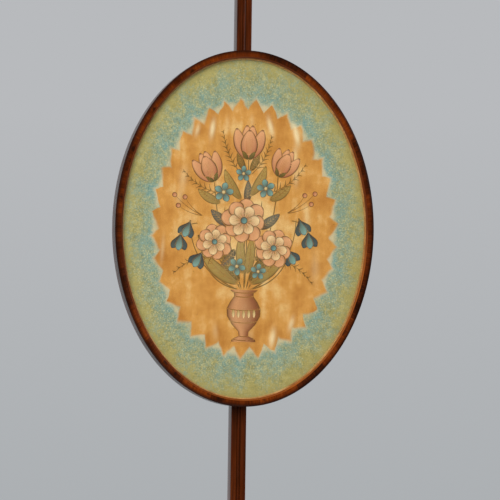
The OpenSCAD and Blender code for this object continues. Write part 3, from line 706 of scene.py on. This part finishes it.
def silkRelief(x, z):  # how far the silk stands forward: a slow billow and the ridges, held flat at the rim
    slow = np.sin(x / silkShape["billowLong"] * 6) * np.cos(z / silkShape["billowLong"] * 4)
    held = (x / (halfWide - panelInset)) ** 2 + (z / (halfHigh - panelInset)) ** 2
    return (silkShape["billow"] * (1 + slow) + silkRidges(x, z)) * np.clip(1 - held ** 4, 0, 1)


def onSilk(x, z, lift=0.0):  # point of the silk's front, lifted off it; z is from the oval's centre
    return np.stack([x, silkFrontY - silkRelief(x, z) - lift, z + ovalZ], -1)


def dressSilk(piece, paint):
    # gives a cloth mesh its brushwork, as colour with strength, and painted highlights where its ridges stand
    # highest; turns it to the front
    mesh = piece.data
    points = np.empty(len(mesh.vertices) * 3, np.float32)
    mesh.vertices.foreach_get("co", points)
    x, _, z = points.reshape(-1, 3).T / mm
    # painted highlight: a share of pale cream that grows with how high the ridges stand
    high = np.clip(silkRidges(x, z - ovalZ) / silkShape["highlightHigh"], 0, 1)
    ridgeHighlight = (silkShape["highlightMost"] * high ** 1.6).astype(np.float32)
    mesh.attributes.new("paintedHighlight", "FLOAT", "POINT").data.foreach_set("value", ridgeHighlight)
    layer = mesh.attributes.new("paint", "FLOAT_COLOR", "POINT")
    layer.data.foreach_set("color", paint.astype(np.float32).ravel())
    if mesh.polygons[len(mesh.polygons) // 2].normal.y > 0:
        mesh.flip_normals()


def makeSilk():
    # rings of an oval sheet, lifted by the relief; Solidify gives it thickness towards the strainer
    share = np.linspace(0, 1, silkShape["rings"])[:, None]
    turns = around(silkShape["sides"])
    x = share * (halfWide - panelInset) * np.cos(turns)
    z = share * (halfHigh - panelInset) * np.sin(turns)
    piece = putPiece("silk_panel", [onSilk(x, z)], "screen", silkCloth, ["silk"])
    dressSilk(piece, np.zeros((len(piece.data.vertices), 4)))
    solid = piece.modifiers.new("thickness", "SOLIDIFY")
    solid.thickness, solid.offset = silkShape["thick"] * mm, -1
    return piece


# Posy painted on the silk: brush marks are thin patches laid over the silk, each with its colour and strength

pigment = dict(
    peach="dfa071", blush="a2553c", cream="edcb98", madder="3c1610", rust="74382a", teal="184a54",
    pale="72a098", deep="061b22", olive="715f2e", moss="2f3319", straw="a68b4c", bark="2b180c")
paintLift = dict(first=0.12, layer=0.008)  # mm that the lowest marks and each layer stand off the silk
brush = []  # grids of points and of paint, one pair per mark
flower, bud, leaf, gilt = (("blush", "peach", "madder"), ("deep", "pale", "deep"), ("moss", "olive", "bark"),
                           ("straw", "cream", "bark"))


def shaded(tones, share, line):
    # linear colour: from the first pigment to the second by share, then to the third by line
    first, second, third = (np.array(linear(pigment[tone])[:3]) for tone in tones)
    colour = first + (second - first) * share[..., None]
    return colour + (third - colour) * line[..., None]


def layMark(x, z, colour, strength, layer):  # a grid of paint that follows the silk, one layer over another
    paint = np.concatenate([colour, np.broadcast_to(strength, x.shape)[..., None]], -1)
    brush.append((onSilk(x, z, paintLift["first"] + paintLift["layer"] * layer), paint))


def petal(x, z, heading, length, width, layer, tones, bend=0, full=0.5, strength=1.0):
    # a centre line that bends from its heading (degrees from upright, clockwise); the half width is a sine of
    # the way along, widest at the share called full; tones are root, tip and outline
    along = np.linspace(0, 1, 15)[:, None]
    across = np.array([-1, -0.9, -0.78, -0.5, -0.2, 0.1, 0.4, 0.62, 0.78, 0.9, 1])
    turn = np.radians(heading + bend * along)
    step = length / 14
    midX = x + step * (np.cumsum(np.sin(turn), 0) - np.sin(turn))
    midZ = z + step * (np.cumsum(np.cos(turn), 0) - np.cos(turn))
    bulge = 0.02 + 0.96 * along ** (np.log(0.5) / np.log(full))
    half = width / 2 * np.sin(np.pi * bulge) ** 0.75
    px, pz = midX + half * across * np.cos(turn), midZ - half * across * np.sin(turn)
    body = np.clip(along ** 0.9 - 0.18 * across, 0, 1)
    line = np.clip((np.maximum(np.abs(across), (along - 0.80) / 0.22) - 0.74) / 0.16, 0, 1)
    fade = np.clip((1 - np.abs(across)) / 0.1, 0, 1) * np.clip(along / 0.07, 0.3, 1)
    layMark(px, pz, shaded(tones, body, line), strength * fade * (0.94 + 0.06 * line), layer)


def stroke(start, end, sag, width, tone, layer, strength=0.9, thin=0.35):
    # a brush line from start to end that bows sideways by sag and thins towards its end
    along = np.linspace(0, 1, 25)[:, None]
    across = np.array([-1, -0.55, 0, 0.55, 1])
    start, end = np.array(start, float), np.array(end, float)
    run = end - start
    side = np.array([run[1], -run[0]]) / np.hypot(*run)
    way = run + side * sag * 4 * (1 - 2 * along)
    way /= np.hypot(way[:, 0], way[:, 1])[:, None]
    mid = start + run * along + side * sag * 4 * along * (1 - along)
    half = width / 2 * (1 - (1 - thin) * along)
    px, pz = mid[:, :1] + half * across * way[:, 1:], mid[:, 1:] - half * across * way[:, :1]
    fade = np.array([0, 0.8, 1, 0.8, 0]) * np.clip(np.minimum(along, 1 - along) / 0.04, 0, 1)
    layMark(px, pz, shaded((tone,) * 3, 0 * px, 0 * px), strength * fade, layer)


def spot(x, z, radius, layer, tones, strength=0.95):
    # a round dab: rings round its middle, light at the upper left, with a dark rim
    share = np.array([1, 0.92, 0.8, 0.62, 0.35, 0])[:, None]
    turn = around(18)
    px, pz = x - radius * share * np.sin(turn), z + radius * share * np.cos(turn)
    lit = np.clip(0.5 - 0.5 * share * np.cos(turn - np.pi / 4), 0, 1)
    line = np.clip((share - 0.6) / 0.25, 0, 1) + 0 * turn
    layMark(px, pz, shaded(tones, lit, line), strength * np.clip((1 - share) / 0.08, 0, 1), layer)


def ahead(point, heading, distance):  # the point that lies a distance away in a heading
    turn = np.radians(heading)
    return np.array(point) + distance * np.array([np.sin(turn), np.cos(turn)])


def leafSpray(x, z, heading, length, width, layer, bend=0, tones=("olive", "straw", "bark")):
    # a lance-shaped leaf with a midrib and short side veins
    petal(x, z, heading, length, width, layer, tones, bend, 0.46, 0.9)
    for share in np.linspace(0.18, 0.8, 6):
        root = ahead((x, z), heading + bend * share * 0.5, length * share)
        for side in (-1, 1):
            reach = width * 0.42 * np.sin(np.pi * share) + 0.6
            tip = ahead(root, heading + bend * share + side * 42, reach)
            stroke(root, tip, side * 0.3, 0.6, tones[2], layer + 1, 0.75)
    tip = ahead((x, z), heading + bend * 0.5, length * 0.96)
    stroke((x, z), tip, -bend * length / 500, 0.9, tones[2], layer + 1, 0.85)


def fern(start, end, sag, layer, tone="moss", pairs=8, reach=9):  # a bowed stalk with pairs of short strokes
    stroke(start, end, sag, 1.0, tone, layer, 0.9)
    run = np.subtract(end, start)
    heading = np.degrees(np.arctan2(run[0], run[1]))
    side = np.array([run[1], -run[0]]) / np.hypot(*run)
    for share in np.linspace(0.2, 0.97, pairs):
        root = np.array(start) + run * share + side * sag * 4 * share * (1 - share)
        for way in (-1, 1):
            tip = ahead(root, heading + way * (58 - 26 * share), reach * (1.05 - 0.65 * share))
            stroke(root, tip, -way * 0.7, 1.7, tone, layer + 1, 0.88, 0.2)


def anemone(x, z, size, layer, tilt=0):  # two rows of broad veined petals round a dark eye with stamens
    for row, (count, reach, shift, tip) in enumerate(((8, 1.0, 0, "peach"), (6, 0.70, 22, "cream"))):
        level = layer + row * 16
        for i in range(count):
            heading = tilt + shift + 360 / count * i
            long = size / 2 * reach * (1 + 0.06 * np.sin(i * 2.4))
            petal(x, z, heading, long, size * 0.40 * reach, level + i, ("blush", tip, "madder"), 7, 0.66)
            for spread in (-13, 0, 13):
                root = ahead((x, z), heading, long * 0.3)
                end = ahead((x, z), heading + 3 + spread, long * 0.8)
                stroke(root, end, 0, 0.5, "rust", level + 9, 0.4)
    for heading in range(0, 360, 24):
        root, end = (ahead((x, z), heading, size * share) for share in (0.07, 0.16))
        stroke(root, end, 0, 0.7, "deep", layer + 27)
        spot(*ahead((x, z), heading, size * 0.165), 0.8, layer + 28, gilt)
    spot(x, z, size * 0.085, layer + 29, ("teal", "pale", "deep"))


def tulip(x, z, heading, size, layer):  # a cup of five petals, the outer pair curling away
    for offset, bend, wide, reach in ((-8, 7, 0.42, 1.0), (8, -7, 0.42, 1.0), (-36, 27, 0.42, 0.98),
                                      (36, -27, 0.42, 0.98), (0, 0, 0.54, 0.86)):
        petal(x, z, heading + offset, size * reach, size * wide, layer, flower, bend, 0.48)
        layer += 1
    for shift in (-9, -4, 0, 4, 9):
        root = ahead((x, z), heading + shift * 2, size * 0.14)
        end = ahead(root, heading + shift * 0.6, size * 0.5)
        stroke(root, end, shift * 0.08, 0.6, "rust", layer + 1, 0.5)
    for offset in (-48, 48):
        petal(x, z, heading + offset, size * 0.3, size * 0.14, layer + 1, leaf, -offset * 0.5)


def bell(x, z, heading, size, layer):  # a hanging flower: three lobes that widen to a flared mouth
    for offset, tip in ((-19, "teal"), (19, "teal"), (0, "pale")):
        petal(x, z, heading + offset, size, size * 0.46, layer, ("deep", tip, "deep"), offset * 0.6, 0.70)
        layer += 1
    stroke((x - 1, z), (x + 1, z), 0, 3.2, "moss", layer)


def starlet(x, z, size, layer, tilt=0):  # a small five-petalled flower with a pale eye
    for i in range(5):
        petal(x, z, tilt + 72 * i, size / 2, size * 0.36, layer + i, bud, 8, 0.62)
    spot(x, z, size * 0.11, layer + 6, ("cream", "straw", "bark"))


def vase():
    # half widths read off a list of heights: foot, stem, bowl, neck and lip; lit from the left
    heights = [-119, -117.5, -115.5, -112.5, -108, -101, -92, -84, -77, -71, -67, -65.5, -64]
    widths = [13, 13.5, 12, 5, 5.5, 12.5, 18, 18.5, 15, 10.5, 11, 14.5, 15]
    z = np.linspace(heights[0], heights[-1], 60)[:, None]
    across = np.array([-1, -0.95, -0.88, -0.7, -0.45, -0.15, 0.15, 0.45, 0.7, 0.88, 0.95, 1])
    x = np.interp(z, heights, widths) * across
    lit = np.clip(0.75 - 0.65 * np.abs(across + 0.4), 0, 1) + 0 * z
    line = np.clip((np.abs(across) - 0.84) / 0.09, 0, 1) + 0 * z
    ends = np.clip(np.minimum(z - heights[0], heights[-1] - z) / 0.8, 0, 1)
    fade = np.clip((1 - np.abs(across)) / 0.05, 0, 1) * ends
    layMark(x, z + 0 * x, shaded(("rust", "peach", "madder"), lit, line), 0.85 * fade, 12)
    for level, wide, sag in ((-66.5, 13, 1.2), (-71, 9.6, 1.0), (-112.6, 4.6, 0.6), (-116, 11.5, 1.2),
                             (-84, 17.6, 2.0), (-97, 15, 1.9)):
        stroke((-wide, level), (wide, level), sag, 1.0, "madder", 14, 0.8, 1)
    for place in (-11, -5.5, 0, 5.5, 11):  # a band of leaf-shaped dabs round the bowl
        petal(place, -94 + abs(place) * 0.06, 0, 8.5, 3.4, 15, ("cream", "straw", "bark"))


def paintPosy():
    # stems fan out from the vase's lip; leaves lie behind, large flowers before them
    for tipX, tipZ, sag in ((3, 78, 1), (-33, 50, -6), (35, 58, 7), (-22, 22, -2), (18, 30, 2), (-59, 6, -14),
                            (55, 12, 14), (-44, -26, -10), (49, -20, 10), (0, 8, 0)):
        stroke((tipX * 0.12, -64), (tipX, tipZ), sag, 1.6, "moss", 0, 0.9, 0.7)
    teal = ("deep", "teal", "deep")
    for x, z, heading, length, width, bend, *tones in (
            (-6, -58, -66, 52, 14, 34), (6, -58, 62, 54, 14, -34), (-5, -56, -30, 46, 12, -18, leaf),
            (5, -56, 32, 46, 12, 18, leaf), (-10, -30, -80, 46, 13, 40, leaf),
            (10, -32, 80, 44, 13, -42, leaf), (-4, 30, -44, 36, 11, 30), (5, 34, 42, 36, 11, -30),
            (-2, -48, -8, 40, 11, 10), (3, -48, 12, 38, 11, -12), (-26, 26, -76, 28, 10, 34),
            (26, 30, 70, 28, 10, -34), (-16, 2, -58, 26, 11, 16, teal), (14, 0, 64, 28, 11, -18, teal),
            (-10, -22, -150, 24, 10, 20, teal), (13, -22, 146, 24, 10, -16, teal),
            (1, 26, 14, 24, 9, -20, teal), (0, 60, -34, 22, 8, 26, leaf), (5, 60, 36, 22, 8, -26, leaf)):
        leafSpray(x, z, heading, length, width, 3, bend, *tones)
    for start, end, sag in (((-20, 36), (-65, 58), -6), ((20, 36), (64, 68), 6), ((-24, -34), (-74, -48), 8),
                            ((24, -34), (72, -56), -8), ((-4, 56), (-24, 100), -4), ((6, 56), (27, 96), 4)):
        fern(start, end, sag, 6)
    for x, z, heading, size in ((3, 72, 2, 36), (-33, 48, -24, 33), (35, 55, 26, 31)):
        tulip(x, z, heading, size, 10)
    for way, drop in ((-1, 0), (1, 5)):
        for x, z, heading in ((58, 6, 158), (45, -26, 150), (68, -7, 172)):
            bell(way * x, z + drop, way * heading, 18, 9)
        stroke((way * 50, 4 + drop), (way * 68, -7 + drop), way * -3, 1.2, "moss", 8)
        for x, z in ((71, 22), (64, 31), (75, 33)):  # berries on short stalks
            stroke((way * 45, 12 + drop), (way * x, z + drop), way * 2, 0.9, "bark", 5)
            spot(way * x, z + drop, 2.8, 9, flower)
    for x, z, size, layer, tilt in ((-1, 8, 47, 28, 8), (-32, -15, 38, 20, -14), (31, -20, 41, 20, 20)):
        anemone(x, z, size, layer, tilt)
    for x, z, size, tilt in ((-23, 37, 21, 10), (22, 42, 20, -12), (-8, -40, 19, 30), (15, -45, 17, 4),
                             (-2, 57, 17, 0)):
        starlet(x, z, size, 32, tilt)
    vase()
    grids, paints = zip(*brush)
    piece = putPiece("painted_posy", grids, "screen", silkCloth, closed=False, sharp=180)
    dressSilk(piece, np.concatenate([paint.reshape(-1, 4) for paint in paints]))
    return piece


def makeBoards():
    # the backboard is an oval plate; the batten is a rounded bar whose ends follow the oval inside the rim
    size = dict(ease=0.4, rings=8, rim=1.0, arris=1.2, flats=11, ends=0.9)
    board = ovalPlate("backboard", size["rings"], size["ease"])
    putPiece("pine_backboard", [board], "screen", pine, ["backboard"])
    bar = eased([(-battenHalf, battenFrontY), (battenHalf, battenFrontY), (battenHalf, battenBackY),
                 (-battenHalf, battenBackY)], size["arris"])
    flats = np.linspace(-1, 1, size["flats"] + 2)[1:-1] * battenHalf
    bar = np.concatenate([bar] + [np.stack([flats, 0 * flats + y], -1) for y in (battenFrontY, battenBackY)])
    middle = bar.mean(0)
    bar = looped(bar[np.argsort(np.arctan2(bar[:, 1] - middle[1], bar[:, 0] - middle[0]))])
    end = (halfHigh - size["rim"]) * np.sqrt(1 - (bar[:, 0] / (halfWide - size["rim"])) ** 2)
    share = np.array([-1, -0.9975, -0.5, 0, 0.5, 0.9975, 1])[:, None]
    depth = middle[1] + (bar[:, 1] - middle[1]) * np.where(np.abs(share) == 1, size["ends"], 1)
    rings = np.stack(np.broadcast_arrays(bar[:, 0], depth, ovalZ + share * end), -1)
    putPiece("upright_batten", [capped(rings)], "screen", battenWood, ["batten"])


makeHoop()
makeBanding()
makeBead()
makeGlass()
silkPiece = makeSilk()
posyPiece = paintPosy()
makeBoards()
print("screen made,", len(brush), "brush marks")


# Clamp and straps

clampZ = span("clamp_boss")[:, 2].mean()  # height of the thumbscrew's axis


def makeStrap(node, name):
    # a flat bar with eased edges carried along a path that folds round the pole, with half-round flange ends
    size = dict(thick=1.6, bend=2.4, ease=0.45, side=8.3, round=5.0)
    low, high = span(node)
    half, end = size["thick"] / 2, size["round"]
    side, flange, back = size["side"] + half, low[1] + half, high[1] - half
    path = eased([(low[0], flange), (-side, flange), (-side, back), (side, back), (side, flange),
                  (high[0], flange)], size["bend"], False, 8)
    tips = np.stack([np.linspace(0, end, 9)[1:-1], np.zeros(7)], -1)
    path = np.concatenate([path[:1], path[:1] + tips, path[1:-1], path[-1:] - tips[::-1], path[-1:]])
    run = np.gradient(path, axis=0)
    run /= np.linalg.norm(run, axis=1, keepdims=True)
    across = np.stack([-run[:, 1], run[:, 0]], -1)
    fromEnd = np.minimum(np.abs(path[:, 0] - low[0]), np.abs(path[:, 0] - high[0]))
    cut = np.clip(1 - fromEnd / end, 0, 1) * (np.abs(path[:, 1] - flange) < 0.01)
    tall = (high[2] - low[2]) / 2 - end * (1 - np.sqrt(1 - cut ** 2))
    bar = looped(eased([(-half, -1), (half, -1), (half, 1), (-half, 1)], size["ease"]))
    flat = path[:, None] + across[:, None] * bar[:, :1]
    height = (low[2] + high[2]) / 2 + tall[:, None] * bar[:, 1]
    rings = np.concatenate([flat, height[..., None]], -1)
    putPiece(name, [capped(rings)], "screen", brass, [node])


def alongY(outline):  # a turned shape laid along the thumbscrew's axis, its outline given as distance and y
    return turned(outline, 48)[..., [0, 2, 1]] + (0, 0, clampZ)


def makeBoss():
    # the half outline swung round the thumbscrew's axis: a flange, then a body that narrows to the back
    size = dict(bore=2.6, wide=6.0, flange=1.2, step=2.0, lip=0.8, ease=0.5)
    bore, wide = size["bore"], size["wide"]
    front, back = span("clamp_boss")[:, 1]
    outline = eased([(bore, back), (bore, front), (wide, front), (wide, front + size["flange"]),
                     (wide * 0.9, front + size["step"]), (wide * 0.85, back - size["lip"]),
                     (wide * 0.62, back), (bore, back)], size["ease"], False)
    putPiece("clamp_boss_turned", [alongY(outline)], "screen", brass, ["clamp_boss"])


def makeShoe():
    # rounded squares stacked from front to back, smaller at both faces, dimpled for the thumbscrew's end
    size = dict(corner=1.0, face=0.95, ease=0.35, dimple=0.35, floor=0.32, deep=1.2)
    low, high = span("clamp_shoe")
    flat = looped(eased([(low[0], low[2]), (high[0], low[2]), (high[0], high[2]), (low[0], high[2])],
                        size["corner"]))
    levels = [(size["face"], low[1]), (1, low[1] + size["ease"]), (1, high[1] - size["ease"]),
              (size["face"], high[1]), (size["dimple"], high[1]), (size["floor"], high[1] - size["deep"])]
    x, z = flat[:, 0], flat[:, 1] - clampZ
    rings = np.stack([np.stack([x * share, 0 * x + y, clampZ + z * share], -1) for share, y in levels])
    putPiece("clamp_pressure_shoe", [capped(rings)], "clamp_shoe", brass, ["clamp_shoe"])


def makeThumbscrew():
    # a threaded shank and a collar swung round its axis, and a flat round head, hollowed on both sides
    size = dict(tip=1.6, tipLong=1.3, shank=2.5, pitch=1.0, depth=0.28, collar=4.25, collarLong=3.0,
                collarFlat=2, neck=2.6, ease=0.6, head=8.5, thick=1.8, sink=0.5, dish=0.28)
    tipY, endY = span("thumbscrew")[:, 1]
    collarY = endY - 2 * size["head"] - size["collarLong"] + size["sink"]
    collarEnd, shankY = collarY + size["collarLong"], tipY + size["tipLong"]
    y = np.linspace(shankY, collarY - 0.1, 90)
    thread = size["shank"] - size["depth"] * (0.5 - 0.5 * np.cos(2 * np.pi * y / size["pitch"]))
    collar = eased([(size["shank"], collarY), (size["collar"], collarY),
                    (size["collar"], collarY + size["collarFlat"]), (size["neck"], collarEnd),
                    (0, collarEnd + size["ease"])], size["ease"], False)
    shank = np.concatenate([[(0, tipY), (size["tip"], tipY + 0.2), (size["tip"], shankY)],
                            np.stack([thread, y], -1), collar])
    disc, edge = np.linspace(0, 0.9, 10), np.array([0.96, 0.99, 1.0, 0.99, 0.96])
    share = np.concatenate([disc, edge, disc[::-1]])[:, None]
    bulge = np.concatenate([np.full(10, 1.0), [0.86, 0.55, 0.0, -0.55, -0.86], np.full(10, -1.0)])[:, None]
    hollow = 1 - size["dish"] * np.exp(-((share - 0.45) / 0.25) ** 2)
    turn = around(72)
    head = np.stack([size["thick"] * bulge * hollow + 0 * turn,
                     endY - size["head"] + size["head"] * share * np.cos(turn),
                     clampZ + size["head"] * share * np.sin(turn)], -1)
    putPiece("thumbscrew_turned", [alongY(shank), head], "thumbscrew", brass, ["thumbscrew"])


def makeScrews(node, name, shank):
    # raised heads near the corners of the node's box: a dome on a disc, cut by a slot, over a flat back
    size = dict(radius=0.95 * shank, rise=0.34 * shank, slot=0.13, slotDeep=0.32 * shank, back=0.4 * shank,
                firstTurn=25, turn=50)  # each slot stands at another angle
    radius, slot = size["radius"], size["slot"]
    low, high = span(node)
    outer = np.array([slot + 0.001, 0.3, 0.5, 0.7, 0.86, 0.96, 1])
    u = np.concatenate([-outer[::-1], [-slot, 0, slot], outer])
    v = np.linspace(-1, 1, 17)[:, None]
    far = u ** 2 + (1 - u ** 2) * v ** 2
    out = size["rise"] * (1 - far) - size["slotDeep"] * (np.abs(u) <= slot)
    x, z = radius * u + 0 * v, radius * np.sqrt(1 - u ** 2) * v
    x, z = (np.concatenate([part, part[::-1], part[:1]]) for part in (x, z))
    out = np.concatenate([out, 0 * out - size["back"], out[:1]])
    grids = []
    for number, (right, top) in enumerate(((0, 0), (0, 1), (1, 0), (1, 1))):
        angle = np.radians(size["firstTurn"] + size["turn"] * number)
        midX = (low[0] + radius, high[0] - radius)[right]
        midZ = (low[2] + radius, high[2] - radius)[top]
        grids.append(np.stack([midX + x * np.cos(angle) - z * np.sin(angle), high[1] + out,
                               midZ + x * np.sin(angle) + z * np.cos(angle)], -1))
    putPiece(name, grids, "screen", brass, [node])


makeStrap("clamp_strap", "clamp_strap_folded")
makeStrap("guide_strap", "guide_strap_folded")
makeBoss()
makeShoe()
makeThumbscrew()
makeScrews("strap_screws", "strap_screw_heads", 2.6)
makeScrews("batten_screws", "batten_screw_heads", 2.2)
kept = dict(spider_plate=iron, spider_screws=iron, backboard_brads=iron, pole_peg=poleWood,
            spacer_fillet=boxwood, strainer=pine)  # nodes that stay as they are
for node, finish in kept.items():
    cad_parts[node].data.materials.clear()
    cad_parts[node].data.materials.append(finish)
print("clamp made,", len(kept), "nodes kept")


# Studio: camera, floor, world and lamps

studio = dict(
    azimuth=-12.5, elevation=-3.0, roll=0.8, distance=3000, aimX=4.6, aimZ=1038.1, focal=2880.8, picture=500,
    sensor=36, backdropHigh="b8babd", backdropLow="aaaeb1", ambient=0.37, room=0.03, floorRadius=6.0)


def aimed(place, back, roll=0.0):
    # matrix of what stands at a place, its back turned one way; right and up follow, and roll turns them
    back = back / np.linalg.norm(back)
    right = np.cross([0, 0, 1], back)
    right /= np.linalg.norm(right)
    up = np.cross(back, right)
    right, up = right * np.cos(roll) + up * np.sin(roll), up * np.cos(roll) - right * np.sin(roll)
    columns = np.eye(4)
    columns[:3] = np.stack([right, up, back, place], -1)
    return Matrix(columns.tolist())


def makeCamera():
    # the camera stands off from a point on the front by azimuth, elevation and distance, slightly rolled
    azimuth, elevation, roll = np.radians([studio["azimuth"], studio["elevation"], studio["roll"]])
    level = np.cos(elevation)
    back = np.array([np.sin(azimuth) * level, -np.cos(azimuth) * level, np.sin(elevation)])
    place = np.array([studio["aimX"], frontY, studio["aimZ"]]) + back * studio["distance"]
    lens = bpy.data.cameras.new("camera")
    lens.sensor_width = studio["sensor"]
    lens.lens = studio["focal"] * studio["sensor"] / studio["picture"]
    camera = placed("camera", lens)
    camera.matrix_world = aimed(place * mm, back, roll)
    bpy.context.scene.camera = camera


def makeFloor():
    # a wide flat disc whose edge fades into the backdrop
    wide, turn = studio["floorRadius"], around(96)
    radius = np.array([0, 0.5, 1.0])[:, None] * wide
    grid = np.stack([radius * np.cos(turn), radius * np.sin(turn), 0 * radius + 0 * turn], -1)
    material, shader, add, place = newFinish(
        "matt studio floor", {"Roughness": 0.9, "Specular IOR Level": 0.1})
    cloud = add("TexNoise", place, 1.5, 3)
    wire(shader, {"Base Color": add("ValToRGB", cloud, stops={0.3: "a9adb0", 0.7: "afb3b6"})})
    away = add("VectorMath", place, operation="LENGTH").outputs["Value"]
    fade = add("MapRange", away, wide * 0.2, wide * 0.95, interpolation_type="SMOOTHSTEP")
    faded = add("MixShader", fade, shader, add("BsdfTransparent"))
    wire(material.node_tree.nodes["Material Output"], faded)
    mesh = bpy.data.meshes.new("floor")
    mesh.from_pydata(grid.reshape(-1, 3).tolist(), [], quads(3, 97)[:, ::-1].tolist())
    mesh.materials.append(material)
    placed("floor", mesh)


def makeWorld():
    # what is seen is a plain pale backdrop; polished pieces mirror it behind them and a dimmer room in front;
    # everything else gets an even soft light
    world = bpy.data.worlds.new("studio")
    bpy.context.scene.world = world
    world.use_nodes = True
    add = functools.partial(addNode, world.node_tree)
    ray = add("LightPath").outputs
    mirrored = add("Math", ray["Is Glossy Ray"], ray["Is Transmission Ray"], operation="MAXIMUM")
    seen = add("Math", ray["Is Camera Ray"], mirrored, operation="MAXIMUM")
    way = add("SeparateXYZ", add("TexCoord").outputs["Generated"]).outputs
    rise = add("MapRange", way["Z"], -0.06, 0.10)
    shade = add("Mix", rise, studio["backdropLow"], studio["backdropHigh"], data_type="RGBA")
    behind = add("MapRange", way["Y"], -0.1, 0.5, studio["room"], 1.0, interpolation_type="SMOOTHSTEP")
    power = add("Math", behind, ray["Is Camera Ray"], operation="MAXIMUM")
    backdrop = add("Background", shade, power)
    ambient = add("Background", "ffffff", studio["ambient"])
    wire(world.node_tree.nodes["World Output"], add("MixShader", seen, ambient, backdrop))


def makeLamps():
    # soft boxes: a key from the upper left front, of which polish mirrors only the window's share, a weak
    # fill from the right and one from behind for the back
    boxes = [dict(name="key", place=(-1.6, -2.7, 2.4), size=2.4, power=103, mirrored=False),
             dict(name="window", place=(-1.6, -2.7, 2.4), size=2.4, power=42, mirrored=True),
             dict(name="fill", place=(2.3, -2.2, 2.2), size=1.6, power=14, mirrored=True),
             dict(name="rear", place=(1.0, 2.8, 2.5), size=1.8, power=60, mirrored=False)]
    target = np.array([0, 0, 1.0])  # 1 m above the floor
    for box in boxes:
        lamp = bpy.data.lights.new(box["name"], "AREA")
        lamp.shape, lamp.size, lamp.energy = "SQUARE", box["size"], box["power"]
        holder = placed(box["name"], lamp)
        holder.matrix_world = aimed(box["place"], box["place"] - target)
        holder.visible_camera = False
        holder.visible_glossy = box["mirrored"]


makeCamera()
makeFloor()
makeWorld()
makeLamps()
bpy.context.scene.view_settings.view_transform = "Standard"
print("studio ready")
